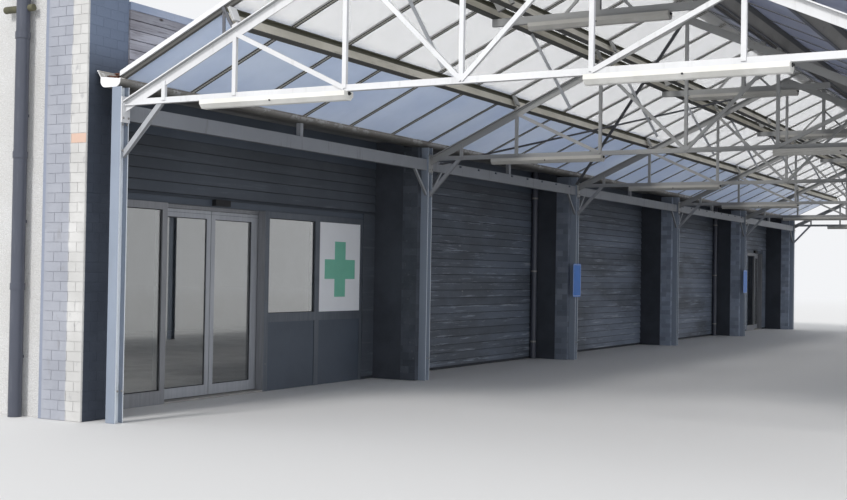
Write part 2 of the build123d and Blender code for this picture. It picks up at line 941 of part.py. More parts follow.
parts = {
    "floor_slab": floor_slab(),
    "left_wall": left_wall(),
    "right_wall": right_wall(),
    "rear_wall": rear_wall(),
    "roof_deck": roof_deck(),
    "front_parapet": front_parapet(),
    "parapet_coping": copings(),
    "corner_pier": corner_pier(),
    "brick_piers": brick_piers(),
    "pier_returns": pier_returns(),
    "front_walls": front_walls(),
    "door_bay_walls": door_bay_walls(),
    "door_posts": door_posts(),
    "door_rails": door_rails(),
    "head_strips": head_strips(),
    "lower_panels": lower_panels(),
    "sign_panel": sign_panel(),
    "fixed_glass": fixed_glass(),
    "door_headers": door_headers(),
    "door_sensors": door_sensors(),
    "left_leaf_frame": leaf_frame(left_leaf_x, left_stiles),
    "left_leaf_glass": leaf_glass(left_leaf_x, left_stiles),
    "right_leaf_frame": leaf_frame(right_leaf_x, right_stiles),
    "right_leaf_glass": leaf_glass(right_leaf_x, right_stiles),
    "far_leaf_frame": leaf_frame(far_leaf_x, far_stiles),
    "far_leaf_glass": leaf_glass(far_leaf_x, far_stiles),
    "downpipes": downpipes(),
    "column_plates": column_plates(),
    "wall_columns": column_row(0),
    "front_columns": column_row(-span),
    "tie_beams": tie_beams(),
    "canopy_braces": canopy_braces(),
    "purlins": purlins(),
    "glazing_bars": glazing_bars(),
    "roof_sheets": roof_sheets(),
    "ridge_cap": ridge_cap(),
    "gutters": gutters(),
    "roof_bracing": roof_bracing(),
    "strip_lamps": strip_lamps(),
    "lamp_rails": lamp_rails(),
}
one_truss = truss()
for number, x in enumerate(column_places, 1):
    parts[f"truss_{number}"] = Pos(x, 0, 0) * one_truss

# The origin goes to the middle of the footprint, on the ground
whole = Compound(children=[Pos(0, 0, 0) * shape for shape in parts.values()]).bounding_box()
middle_x = (whole.min.X + whole.max.X) / 2
middle_y = (whole.min.Y + whole.max.Y) / 2
print("origin at", middle_x, middle_y)

os.makedirs("parts", exist_ok=True)
for name, shape in parts.items():
    export_step(Pos(-middle_x, -middle_y, 0) * shape, f"parts/{name}.step")
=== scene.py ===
import json
import math
import random

import bmesh
import bpy
from mathutils import Matrix, Vector


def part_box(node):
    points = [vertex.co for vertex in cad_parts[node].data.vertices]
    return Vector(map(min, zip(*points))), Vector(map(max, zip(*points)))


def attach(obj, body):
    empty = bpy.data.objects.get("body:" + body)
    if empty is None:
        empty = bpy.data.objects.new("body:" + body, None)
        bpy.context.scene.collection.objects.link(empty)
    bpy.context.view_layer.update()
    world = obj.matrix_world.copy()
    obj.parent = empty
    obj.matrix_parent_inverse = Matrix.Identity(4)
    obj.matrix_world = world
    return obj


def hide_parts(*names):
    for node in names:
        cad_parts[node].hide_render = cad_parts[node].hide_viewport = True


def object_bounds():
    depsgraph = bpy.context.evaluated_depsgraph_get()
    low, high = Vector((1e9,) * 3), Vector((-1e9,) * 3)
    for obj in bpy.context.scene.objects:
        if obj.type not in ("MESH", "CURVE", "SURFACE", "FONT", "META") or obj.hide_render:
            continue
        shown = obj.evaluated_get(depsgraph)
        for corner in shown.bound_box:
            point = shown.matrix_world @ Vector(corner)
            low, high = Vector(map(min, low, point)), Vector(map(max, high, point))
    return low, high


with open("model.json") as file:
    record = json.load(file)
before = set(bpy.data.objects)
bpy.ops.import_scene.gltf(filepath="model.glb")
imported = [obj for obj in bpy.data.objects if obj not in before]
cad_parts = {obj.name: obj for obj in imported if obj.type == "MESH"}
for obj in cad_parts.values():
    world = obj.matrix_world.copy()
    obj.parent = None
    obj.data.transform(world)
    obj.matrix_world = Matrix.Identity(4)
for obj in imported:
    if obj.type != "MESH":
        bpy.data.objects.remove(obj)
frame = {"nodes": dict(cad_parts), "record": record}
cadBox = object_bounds()
nodes = frame["nodes"]
scene = bpy.context.scene
print("frame loaded with", len(nodes), "nodes")


# the low and the high corner of the box round some points
def corners(points):
    return [Vector([pick(point[axis] for point in points) for axis in range(3)]) for pick in (min, max)]


# the boxes of the separate solids in a node, from left to right
def solidBoxes(nodeName):
    bm = bmesh.new()
    bm.from_mesh(nodes[nodeName].data)
    bmesh.ops.remove_doubles(bm, verts=bm.verts, dist=0.00001)
    seen = set()
    boxes = []
    for first in bm.verts:
        waiting = [first]
        solid = []
        while waiting:
            vert = waiting.pop()
            if vert not in seen:
                seen.add(vert)
                solid.append(vert.co.copy())
                waiting.extend(edge.other_vert(vert) for edge in vert.link_edges)
        if solid:
            boxes.append(corners(solid))
    bm.free()
    return sorted(boxes, key=lambda box: (round(box[0].x, 3), round(box[0].y, 3), box[0].z))


# Places that many pieces share
columnX = [sum(corner.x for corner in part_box("truss_%d" % number)) / 2 for number in range(1, 7)]
wallRowY = sum(corner.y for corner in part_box("wall_columns")) / 2
frontRowY = sum(corner.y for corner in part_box("front_columns")) / 2
ridgeY = (wallRowY + frontRowY) / 2
halfColumn = (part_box("wall_columns")[1].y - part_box("wall_columns")[0].y) / 2
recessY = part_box("front_walls")[0].y
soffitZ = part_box("front_walls")[1].z
parapetLow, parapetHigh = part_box("front_parapet")
cornerLow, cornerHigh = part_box("corner_pier")
returnBoxes = solidBoxes("pier_returns")
entranceStrip, farStrip = solidBoxes("head_strips")
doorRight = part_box("right_leaf_frame")[1].x - 0.038  # the closed leaf overlaps the post by 38 mm

# The roof's slope, read from the sheets: the height of their upper side at the eaves and at the ridge
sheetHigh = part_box("roof_sheets")[1]
sheetVerts = nodes["roof_sheets"].data.vertices
eaveTop = max(v.co.z for v in sheetVerts if v.co.y > sheetHigh.y - 0.001)
ridgeStart = max(v.co.y for v in sheetVerts if v.co.z > sheetHigh.z - 0.001 and v.co.y > ridgeY)
roofRise = (sheetHigh.z - eaveTop) / (sheetHigh.y - ridgeStart)
slopeAngle = math.atan(roofRise)
eaveReach = sheetHigh.y - ridgeY
ridgeReach = ridgeStart - ridgeY
barBoxes = [box for box in solidBoxes("glazing_bars") if box[0].y > ridgeY - 0.1]
barX = [(low.x + high.x) / 2 for low, high in barBoxes[1:-1]]
barHalf = (barBoxes[1][1].x - barBoxes[1][0].x) / 2
purlinBoxes = solidBoxes("purlins")
middlePurlinReach = max((low.y + high.y) / 2 for low, high in purlinBoxes) - ridgeY

# Heights square to the slope, measured from the upper side of the sheets
slopeLevels = {"flangeUnder": -0.021, "vergeStep": 0.019, "purlinTop": -0.021, "purlinFoot": -0.211}


# Camera at the photograph's viewing angle
cameraSet = {
    "fromFirstColumn": (-9.525, -8.749, 1.544),
    "yaw": 28.876,
    "pitch": 1.061,
    "roll": 0.934,
    "focalPixels": 1255.512,
    "frameWidth": 847,
    "sensorWidth": 36.0,
}


def makeCamera(setting):
    yaw, pitch, roll = [math.radians(setting[key]) for key in ("yaw", "pitch", "roll")]
    forward = Vector((math.cos(pitch) * math.cos(yaw), math.cos(pitch) * math.sin(yaw), math.sin(pitch)))
    level = Vector((math.sin(yaw), -math.cos(yaw), 0))
    above = level.cross(forward)
    right = math.cos(roll) * level + math.sin(roll) * above
    up = math.cos(roll) * above - math.sin(roll) * level
    data = bpy.data.cameras.new("photoCamera")
    data.sensor_fit = "HORIZONTAL"
    data.sensor_width = setting["sensorWidth"]
    data.lens = setting["focalPixels"] * setting["sensorWidth"] / setting["frameWidth"]
    data.clip_end = 2000
    camera = bpy.data.objects.new("photoCamera", data)
    scene.collection.objects.link(camera)
    turn = Matrix((right, up, -forward)).transposed().to_4x4()
    place = Vector((columnX[0], wallRowY, 0)) + Vector(setting["fromFirstColumn"])
    camera.matrix_world = Matrix.Translation(place) @ turn
    scene.camera = camera


makeCamera(cameraSet)
print("camera placed")


# A finish is one Principled shader with the nodes that feed it
class Finish:
    def __init__(self, name, colour=(0.5, 0.5, 0.5), roughness=0.6, metallic=0.0):
        self.material = bpy.data.materials.new(name)
        self.material.use_nodes = True
        self.tree = self.material.node_tree
        self.tree.nodes.clear()
        self.shader = self.tree.nodes.new("ShaderNodeBsdfPrincipled")
        output = self.tree.nodes.new("ShaderNodeOutputMaterial")
        self.tree.links.new(self.shader.outputs["BSDF"], output.inputs["Surface"])
        self.coords = self.tree.nodes.new("ShaderNodeTexCoord").outputs["Object"]
        self.set("Base Color", colour)
        self.set("Roughness", roughness)
        self.set("Metallic", metallic)

    def plug(self, socket, value):
        if isinstance(value, bpy.types.NodeSocket):
            self.tree.links.new(value, socket)
        elif socket.type == "RGBA":
            socket.default_value = (*value, 1)
        else:
            socket.default_value = value

    def set(self, name, value):
        self.plug(self.shader.inputs[name], value)

    def add(self, kind, inputs, **settings):
        node = self.tree.nodes.new(kind)
        for name, value in settings.items():
            setattr(node, name, value)
        for key, value in inputs.items():
            self.plug(node.inputs[key], value)
        return node

    def stretched(self, scale, stretch):
        return {"Vector": self.add("ShaderNodeMapping", {"Vector": self.coords, "Scale": stretch}).outputs[0],
                "Scale": scale}

    def noise(self, scale, detail=4.0, rough=0.55, stretch=(1, 1, 1)):
        inputs = {**self.stretched(scale, stretch), "Detail": detail, "Roughness": rough}
        return self.add("ShaderNodeTexNoise", inputs).outputs[0]

    def cells(self, scale, stretch=(1, 1, 1)):
        return self.add("ShaderNodeTexVoronoi", self.stretched(scale, stretch)).outputs["Distance"]

    def span(self, value, low, high, outLow=0.0, outHigh=1.0):
        inputs = {0: value, 1: low, 2: high, 3: outLow, 4: outHigh}
        return self.add("ShaderNodeMapRange", inputs, interpolation_type="SMOOTHSTEP").outputs[0]

    def maths(self, operation, first, second=0.0):
        return self.add("ShaderNodeMath", {0: first, 1: second}, operation=operation).outputs[0]

    def axis(self, letter):
        return self.add("ShaderNodeSeparateXYZ", {0: self.coords}).outputs[letter]

    def normal(self, letter):
        normal = self.add("ShaderNodeNewGeometry", {}).outputs["Normal"]
        return self.add("ShaderNodeSeparateXYZ", {0: normal}).outputs[letter]

    # from 1 on faces that look straight down to 0 on upright and upper faces
    def facingDown(self, none=-0.35):
        return self.span(self.normal("Z"), -0.85, none, 1.0, 0.0)

    # from 1 on faces that look up to 0 on upright and lower faces
    def facingUp(self):
        return self.span(self.normal("Z"), 0.3, 0.6)

    # from 1 on faces that look to the front, towards -Y, to 0 on the others: where painted light goes
    def paintedFrontLight(self):
        return self.span(self.normal("Y"), -0.85, -0.45, 1.0, 0.0)

    # from 0 at the near gable to 1 on everything farther under the roof: where painted shade goes
    def paintedRoofShade(self):
        return self.span(self.axis("X"), columnX[0] + 0.075, columnX[0] + 0.085)

    # how far a point lies from the ridge, and its height square to the slope above the sheets
    def fromRidge(self):
        return self.maths("ABSOLUTE", self.maths("SUBTRACT", self.axis("Y"), ridgeY))

    def slopeHeight(self):
        ahead = self.maths("MULTIPLY", self.maths("SUBTRACT", self.fromRidge(), eaveReach), roofRise)
        above = self.maths("ADD", self.maths("SUBTRACT", self.axis("Z"), eaveTop), ahead)
        return self.maths("MULTIPLY", above, math.cos(slopeAngle))

    def mix(self, factor, first, second, blend="MIX"):
        inputs = {0: factor, 6: first, 7: second}
        return self.add("ShaderNodeMix", inputs, data_type="RGBA", blend_type=blend).outputs[2]

    # two colours mixed by a pattern, smoothly between its two levels
    def blend(self, pattern, first, second, low=0.36, high=0.66):
        return self.mix(self.span(pattern, low, high), first, second)

    # a stain over a colour, where a pattern rises from one level to another
    def stain(self, base, colour, pattern, low, high, share):
        return self.mix(self.span(pattern, low, high, 0.0, share), base, colour)

    # moves a border about, half the share to either side
    def wander(self, share, *pattern):
        return self.maths("MULTIPLY", self.maths("SUBTRACT", self.noise(*pattern), 0.5), share)

    # the tone that each board or brick was given, from -1 to 1, and 0 on everything else
    def givenTone(self):
        return self.add("ShaderNodeAttribute", {}, attribute_name="tone").outputs["Fac"]

    def tone(self, colour, share):
        scale = self.maths("ADD", 1.0, self.maths("MULTIPLY", self.givenTone(), share))
        grey = self.add("ShaderNodeCombineColor", {0: scale, 1: scale, 2: scale}).outputs[0]
        return self.mix(1.0, colour, grey, "MULTIPLY")

    def bump(self, height, strength, distance):
        inputs = {"Strength": strength, "Distance": distance, "Height": height}
        if self.shader.inputs["Normal"].is_linked:
            inputs["Normal"] = self.shader.inputs["Normal"].links[0].from_socket
        self.set("Normal", self.add("ShaderNodeBump", inputs).outputs[0])


def roughcastFinish():
    f = Finish("roughcastRender", roughness=0.92)
    pebbles = f.cells(70)
    grain = f.noise(34, 5, 0.75)
    cloud = f.noise(0.9, 6, 0.62)
    drips = f.noise(1.6, 5, 0.6, (2.2, 2.2, 0.3))
    base = f.blend(cloud, (0.70, 0.695, 0.69), (0.80, 0.805, 0.82), 0.35, 0.68)
    base = f.stain(base, (0.50, 0.495, 0.48), pebbles, 0.10, 0.55, 0.5)
    base = f.stain(base, (0.40, 0.40, 0.39), grain, 0.56, 0.72, 0.45)
    base = f.stain(base, (0.50, 0.49, 0.46), drips, 0.58, 0.78, 0.35)
    f.set("Base Color", base)
    f.bump(pebbles, 0.8, 0.008)
    f.bump(grain, 0.6, 0.006)
    return f.material


def concreteFinish():
    f = Finish("floorConcrete", roughness=0.85)
    cloud = f.noise(1.8, 6, 0.6)
    f.set("Base Color", f.blend(cloud, (0.31, 0.30, 0.29), (0.45, 0.44, 0.42), 0.35, 0.68))
    f.bump(f.noise(120, 3, 0.7), 0.25, 0.002)
    return f.material


def membraneFinish():
    f = Finish("roofMembrane", roughness=0.88)
    cloud = f.noise(0.5, 6, 0.65)
    base = f.blend(cloud, (0.12, 0.125, 0.13), (0.22, 0.22, 0.215), 0.38, 0.64)
    base = f.stain(base, (0.11, 0.12, 0.07), f.noise(2.4, 7, 0.7), 0.62, 0.72, 0.7)
    f.set("Base Color", f.tone(base, 0.12))
    f.bump(f.cells(220), 0.4, 0.002)
    return f.material


# weathered wood: silver grey with a purple cast, dark grain, knots and brown left under the grey
def parapetBoardFinish():
    f = Finish("weatheredBoards", roughness=0.86)
    grain = f.noise(5, 7, 0.72, (0.55, 5, 11))
    fine = f.noise(26, 4, 0.7, (0.35, 4, 9))
    patch = f.noise(1.1, 4, 0.6, (0.8, 1, 3.5))
    base = f.blend(patch, (0.27, 0.26, 0.29), (0.46, 0.46, 0.51), 0.34, 0.66)
    base = f.stain(base, (0.14, 0.125, 0.13), grain, 0.50, 0.66, 0.7)
    base = f.stain(base, (0.29, 0.21, 0.17), f.noise(0.8, 3, 0.5, (1, 1, 4)), 0.58, 0.70, 0.45)
    knots = f.cells(2.1, (0.75, 1, 1.7))
    base = f.mix(f.span(knots, 0.045, 0.085, 0.95, 0.0), base, (0.045, 0.032, 0.028))
    f.set("Base Color", f.tone(base, 0.28))
    f.bump(fine, 0.5, 0.002)
    f.bump(grain, 0.35, 0.003)
    return f.material


def copingFinish():
    f = Finish("copingMetal", metallic=0.25)
    cloud = f.noise(1.3, 5, 0.6)
    drips = f.noise(7, 4, 0.6, (2.5, 2.5, 0.5))
    base = f.blend(cloud, (0.31, 0.365, 0.49), (0.42, 0.475, 0.60), 0.35, 0.7)
    f.set("Base Color", f.stain(base, (0.27, 0.29, 0.31), drips, 0.55, 0.75, 0.55))
    f.set("Roughness", f.span(cloud, 0.3, 0.7, 0.55, 0.38))
    f.bump(f.noise(3, 3, 0.5), 0.12, 0.004)
    return f.material


# Outer side of the pier: white paint on the bricks with the downpipe's shadow painted blue-grey over the back
# part, sunlit white towards the front corner, one brick bare, and a smooth strip at the back painted in the
# shade's blue-grey; front of the pier: dark paint, with painted light making it paler near the top
# the first share is how much of the side, from its front edge, is sunlit white, with the painted shadow
# behind it; the ragged and soft numbers shape the shadow's edge; the pale heights span the painted light at
# the top of the front
cornerSet = {
    "sunlitShare": 0.36, "ragged": 0.05, "soft": 0.012, "strip": 0.043, "sideDepth": 0.012,
    "paleFrom": 3.35, "paleTo": 3.95, "bareShare": 0.08, "bareHeight": 2.85, "bareTone": 2.0,
}


def cornerPaintFinish():
    f = Finish("cornerPaint", roughness=0.8)
    cloud = f.noise(1.4, 6, 0.65)
    y = f.maths("ADD", f.axis("Y"), f.wander(cornerSet["ragged"], 5, 4, 0.6))
    border = cornerLow.y + cornerSet["sunlitShare"] * (cornerHigh.y - cornerLow.y)
    # painted shadow: blue-grey where the downpipe's shadow falls over the back of the side, sunlit white in
    # front of it
    wearAndShadow = f.blend(cloud, (0.33, 0.345, 0.395), (0.39, 0.405, 0.455), 0.36, 0.68)
    sunlitWhite = f.blend(cloud, (0.54, 0.535, 0.525), (0.65, 0.645, 0.635), 0.36, 0.68)
    white = f.blend(y, sunlitWhite, wearAndShadow, border - cornerSet["soft"], border + cornerSet["soft"])
    white = f.stain(white, (0.28, 0.28, 0.30), f.noise(9, 6, 0.7, (1, 1, 0.6)), 0.58, 0.70, 0.5)
    bareTone = cornerSet["bareTone"]
    white = f.blend(f.givenTone(), f.tone(white, 0.04), (0.66, 0.47, 0.38), bareTone * 0.75, bareTone * 0.8)
    # the smooth strip at the back is painted the blue-grey of the shade
    strip = cornerHigh.y - cornerSet["strip"]
    white = f.blend(f.axis("Y"), white, (0.26, 0.29, 0.37), strip, strip + 0.004)
    dark = f.blend(cloud, (0.040, 0.051, 0.074), (0.054, 0.067, 0.093), 0.4, 0.66)
    # painted light: the dark front turns paler high up, above the canopy's shade
    dark = f.blend(f.axis("Z"), dark, (0.165, 0.205, 0.285), cornerSet["paleFrom"], cornerSet["paleTo"])
    edge = cornerLow.x + cornerSet["sideDepth"]
    f.set("Base Color", f.blend(f.axis("X"), white, f.tone(dark, 0.03), edge, edge + 0.006))
    f.bump(f.noise(34, 5, 0.65), 0.5, 0.004)
    f.bump(f.noise(11, 4, 0.6), 0.3, 0.006)
    return f.material


# dark bricks, paler towards the far end
def darkBrickFinish():
    f = Finish("darkPaintedBrick", roughness=0.72)
    cloud = f.noise(2.3, 5, 0.6)
    near = f.blend(cloud, (0.058, 0.068, 0.086), (0.078, 0.090, 0.112))
    far = f.blend(cloud, (0.28, 0.325, 0.41), (0.36, 0.41, 0.50))
    base = f.blend(f.axis("X"), near, far, columnX[1] + 1.0, columnX[2] + 4.0)
    base = f.stain(base, (0.23, 0.245, 0.27), f.noise(17, 6, 0.72), 0.60, 0.72, 0.5)
    f.set("Base Color", f.tone(base, 0.22))
    f.bump(f.noise(48, 5, 0.65), 0.5, 0.003)
    return f.material


def darkPlasterFinish():
    f = Finish("darkPlaster", roughness=0.8)
    cloud = f.noise(1.5, 6, 0.6)
    f.set("Base Color", f.blend(cloud, (0.038, 0.044, 0.058), (0.055, 0.063, 0.080)))
    f.bump(f.noise(60, 4, 0.6), 0.3, 0.0015)
    return f.material


# Anthracite boards; past the entrance bay the weather has left pale level streaks from the middle down
boardWear = {"fullBelow": 2.3, "leastAbove": 3.0, "leastShare": 0.35, "firstBayShare": 0.2}


def lapBoardFinish():
    f = Finish("lapBoards", roughness=0.62)
    base = f.blend(f.noise(1.2, 5, 0.6), (0.058, 0.067, 0.082), (0.076, 0.087, 0.105))
    beyond = f.span(f.axis("X"), columnX[1] - 0.2, columnX[1] + 0.2, boardWear["firstBayShare"], 1.0)
    fade = (boardWear["fullBelow"], boardWear["leastAbove"], 1.0, boardWear["leastShare"])
    where = f.maths("MULTIPLY", f.span(f.axis("Z"), *fade), beyond)
    wearAndShadow = f.blend(f.axis("X"), (0.132, 0.160, 0.208), (0.195, 0.232, 0.300), columnX[2] - 1, columnX[3] + 1)
    wash = f.span(f.noise(0.9, 5, 0.6, (0.5, 1, 1.6)), 0.36, 0.62, 0.25, 0.9)
    streaks = f.span(f.noise(2.2, 6, 0.72, (0.4, 1, 7.5)), 0.54, 0.66, 0.0, 0.8)
    specks = f.span(f.noise(14, 5, 0.7, (0.45, 1, 2.4)), 0.63, 0.70, 0.0, 0.6)
    for pattern, colour in ((wash, wearAndShadow), (streaks, (0.31, 0.35, 0.41)), (specks, (0.36, 0.38, 0.40))):
        base = f.mix(f.maths("MULTIPLY", pattern, where), base, colour)
    f.set("Base Color", f.tone(base, 0.14))
    f.bump(f.noise(7, 5, 0.7, (0.5, 3, 9)), 0.22, 0.002)
    return f.material


def brushedMetal(name):
    f = Finish(name, metallic=0.35)
    f.set("Roughness", f.span(f.noise(3, 4, 0.6), 0.3, 0.7, 0.34, 0.5))
    return f, f.noise(40, 3, 0.6, (1, 1, 0.05))


# brushed frames: the doors are a light grey, the window beside them is dark
def doorMetalFinish():
    f, brushed = brushedMetal("doorAluminium")
    light = f.blend(brushed, (0.245, 0.252, 0.270), (0.290, 0.298, 0.318), 0.3, 0.7)
    dark = f.blend(brushed, (0.104, 0.120, 0.145), (0.128, 0.145, 0.172), 0.3, 0.7)
    beyondDoor = f.span(f.axis("X"), doorRight, doorRight + 0.002)
    beforeFar = f.span(f.axis("X"), farStrip[0].x - 0.6, farStrip[0].x - 0.5, 1.0, 0.0)
    f.set("Base Color", f.mix(f.maths("MULTIPLY", beyondDoor, beforeFar), light, dark))
    return f.material


def leafMetalFinish():
    f, brushed = brushedMetal("leafAluminium")
    f.set("Base Color", f.blend(brushed, (0.375, 0.392, 0.428), (0.435, 0.452, 0.488), 0.3, 0.7))
    return f.material


def darkPanelFinish():
    f = Finish("darkPanel", roughness=0.5)
    cloud = f.noise(0.9, 5, 0.6)
    base = f.blend(cloud, (0.062, 0.078, 0.104), (0.078, 0.096, 0.126))
    scuffs = f.span(f.noise(11, 6, 0.7, (1, 1, 1.6)), 0.64, 0.72, 0.0, 0.4)
    low = f.span(f.axis("Z"), 0.05, 0.6, 1.0, 0.15)
    f.set("Base Color", f.mix(f.maths("MULTIPLY", scuffs, low), base, (0.17, 0.17, 0.17)))
    f.bump(f.noise(90, 3, 0.5), 0.08, 0.001)
    return f.material


def plainPlastic(name, colour, roughness, wear):
    f = Finish(name)
    dull = [part * (1 - wear) for part in colour]
    f.set("Base Color", f.blend(f.noise(4, 5, 0.6), dull, colour, 0.34, 0.68))
    f.set("Roughness", f.span(f.noise(9, 4, 0.6), 0.3, 0.7, roughness * 0.96, roughness * 1.04))
    return f.material


def glassFinish():
    f = Finish("windowGlass", (0.86, 0.90, 0.89), 0.01)
    for name, value in (("Transmission Weight", 1.0), ("IOR", 1.75), ("Coat Weight", 1.0), ("Coat IOR", 1.9)):
        f.set(name, value)
    f.set("Coat Roughness", 0.01)
    f.bump(f.noise(1.3, 2, 0.4), 0.02, 0.002)
    return f.material


# paint on outdoor steel, with drips, painted shade on the undersides and small rust spots; it may have a
# darker colour for the painted shade under the roof, and a lighter one for painted light on the faces towards
# the front
def steelPaint(name, paint, dirt, dirtShare, rustShare, roughness=0.5, beyond=None, front=None):
    f = Finish(name)
    base = f.blend(f.noise(1.1, 6, 0.62), [part * 0.9 for part in paint], paint, 0.34, 0.66)
    # painted shade: a darker colour on everything farther under the roof
    if beyond:
        base = f.mix(f.paintedRoofShade(), base, beyond)
    # painted light: a lighter colour on the faces towards the front
    if front:
        base = f.mix(f.paintedFrontLight(), base, front)
    base = f.stain(base, dirt, f.noise(6, 5, 0.62, (2.2, 2.2, 0.35)), 0.54, 0.74, dirtShare)
    # painted shade: faces that look down are darkened towards a fifth of the paint
    base = f.mix(f.maths("MULTIPLY", f.facingDown(), 0.7), base, [part * 0.2 for part in paint])
    spots = f.span(f.noise(19, 7, 0.75), 0.655, 0.69, 0.0, rustShare)
    zone = f.span(f.noise(1.6, 3, 0.5), 0.50, 0.60)
    rust = f.maths("MULTIPLY", spots, zone)
    rustColour = f.mix(f.noise(60, 3, 0.6), (0.10, 0.035, 0.016), (0.26, 0.11, 0.05))
    f.set("Base Color", f.mix(rust, base, rustColour))
    f.set("Roughness", f.mix(rust, (roughness,) * 3, (0.9,) * 3))
    f.bump(f.noise(70, 4, 0.6), 0.12, 0.001)
    return f.material


# Purlins: beige paint on the webs, with painted shade under the upper flange and a dark band along the lower
# one;
# those of the front slope are painted darker as shade
purlinBands = {"flangeShadeDeep": 0.052, "footDeep": 0.013}


def purlinFinish():
    f = Finish("purlinPaint", roughness=0.7)
    base = f.blend(f.noise(1.3, 6, 0.65), (0.61, 0.58, 0.50), (0.76, 0.725, 0.64), 0.34, 0.66)
    base = f.stain(base, (0.22, 0.20, 0.15), f.noise(5, 6, 0.7, (0.5, 1, 2.5)), 0.55, 0.75, 0.5)
    height = f.slopeHeight()
    top = slopeLevels["purlinTop"] - purlinBands["flangeShadeDeep"]
    foot = slopeLevels["purlinFoot"] + purlinBands["footDeep"]
    # painted shade: a dark band under the upper flange, where its shadow falls on the web
    base = f.blend(height, base, (0.082, 0.080, 0.055), top - 0.006, top + 0.004)
    base = f.blend(height, (0.060, 0.060, 0.056), base, foot, foot + 0.003)
    # painted shade: the purlins of the front slope are darker
    front = f.span(f.axis("Y"), ridgeY - 0.2, ridgeY + 0.2, 0.72, 0.0)
    f.set("Base Color", f.mix(front, base, (0.070, 0.076, 0.096)))
    f.bump(f.noise(50, 4, 0.6), 0.2, 0.001)
    return f.material


# Glazing bars: bare metal with a dotted lining under the flange; the verges at both ends are white
# above their step and dark below it, where the shade under the step is painted in
barSet = {"dotStep": 0.03, "vergeHalf": 0.06}


def barFinish():
    f = Finish("barAluminium", roughness=0.45)
    cloud = f.noise(2.1, 5, 0.6)
    metal = f.blend(cloud, (0.38, 0.38, 0.375), (0.52, 0.52, 0.515), 0.34, 0.66)
    dots = f.maths("SINE", f.maths("MULTIPLY", f.axis("Y"), 2 * math.pi / barSet["dotStep"]))
    lining = f.blend(dots, (0.27, 0.265, 0.24), (0.52, 0.51, 0.46), -0.4, 0.5)
    flange = slopeLevels["flangeUnder"]
    below = f.span(f.slopeHeight(), flange + 0.003, flange + 0.009, 1.0, 0.0)
    base = f.mix(f.maths("MULTIPLY", f.facingDown(), below), metal, lining)
    white = f.blend(cloud, (0.74, 0.75, 0.77), (0.84, 0.85, 0.86), 0.34, 0.66)
    step = slopeLevels["vergeStep"]
    # painted shade: the verge is dark below its step
    verge = f.blend(f.slopeHeight(), (0.085, 0.083, 0.078), white, step - 0.001, step + 0.001)
    near = columnX[0] + barSet["vergeHalf"]
    far = columnX[-1] - barSet["vergeHalf"]
    first = f.span(f.axis("X"), near, near + 0.01, 1.0, 0.0)
    last = f.span(f.axis("X"), far - 0.01, far)
    f.set("Base Color", f.mix(f.maths("ADD", first, last), base, verge))
    f.bump(f.noise(60, 3, 0.6), 0.1, 0.001)
    return f.material


# old gutter metal: flaking white over grey zinc, darker on the faces that look down; the near ends are white
def gutterFinish():
    f = Finish("gutterMetal", roughness=0.62)
    cloud = f.noise(1.4, 6, 0.65)
    base = f.blend(cloud, (0.30, 0.285, 0.26), (0.44, 0.42, 0.39), 0.36, 0.64)
    flakes = f.span(f.noise(4.5, 7, 0.72, (0.7, 1, 1.4)), 0.54, 0.59, 0.0, 0.85)
    base = f.mix(flakes, base, (0.68, 0.68, 0.67))
    base = f.stain(base, (0.13, 0.115, 0.095), f.noise(8, 5, 0.65, (3, 3, 0.4)), 0.58, 0.76, 0.6)
    base = f.mix(f.maths("MULTIPLY", f.facingDown(0.4), 0.9), base, (0.055, 0.052, 0.047))
    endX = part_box("gutters")[0].x
    white = f.blend(cloud, (0.78, 0.78, 0.79), (0.86, 0.86, 0.87), 0.36, 0.64)
    f.set("Base Color", f.blend(f.axis("X"), white, base, endX + 0.004, endX + 0.006))
    f.bump(flakes, 0.3, 0.001)
    f.bump(f.noise(30, 4, 0.6), 0.2, 0.001)
    return f.material


# Milky roof sheets: clear and sunlit white near the ridge of the wall slope; dull and bluish below the middle
# purlin, where the building's cast shadow is painted in, and on the front slope, where shade is painted in;
# paler on their upper side
# the clear alpha belongs to the sunlit part, the dull alpha to the parts with painted shadow and shade
sheetSet = {
    "clearAlpha": 0.28, "dullAlpha": 0.86, "glow": 0.95, "wander": 0.16,
    "glowReach": (0.08, 0.08, 0.085),
}


def sheetFinish():
    f = Finish("roofSheet", roughness=0.34)
    cloud = f.noise(0.7, 6, 0.62)
    away = f.maths("ADD", f.fromRidge(), f.wander(sheetSet["wander"], 0.5, 3, 0.5))
    # painted shadow: the building's shadow falls below the middle purlin, its border wandering
    low = f.span(away, middlePurlinReach - 0.10, middlePurlinReach + 0.14)
    front = f.span(f.axis("Y"), ridgeY - 0.1, ridgeY + 0.1, 1.0, 0.0)
    sunlitWhite = f.blend(cloud, (0.93, 0.92, 0.89), (0.97, 0.96, 0.94), 0.35, 0.66)
    # painted shadow and shade colours: bluish below the middle purlin, slate on the front slope; paler on the
    # upper side
    blue = f.blend(cloud, (0.45, 0.54, 0.76), (0.55, 0.64, 0.88), 0.35, 0.66)
    slate = f.blend(cloud, (0.15, 0.17, 0.235), (0.215, 0.24, 0.32), 0.35, 0.66)
    blue = f.mix(f.facingUp(), blue, (0.62, 0.67, 0.77))
    slate = f.mix(f.facingUp(), slate, (0.40, 0.43, 0.50))
    f.set("Base Color", f.mix(front, f.mix(low, sunlitWhite, blue), slate))
    # the painted shadow and shade also make the sheet less see-through
    dull = f.maths("MAXIMUM", low, front)
    f.set("Alpha", f.span(dull, 0.0, 1.0, sheetSet["clearAlpha"], sheetSet["dullAlpha"]))
    f.set("Subsurface Weight", sheetSet["glow"])
    f.set("Subsurface Radius", sheetSet["glowReach"])
    f.set("Subsurface Scale", 1.0)
    f.bump(f.noise(2, 2, 0.4, (30, 1, 1)), 0.06, 0.002)
    return f.material


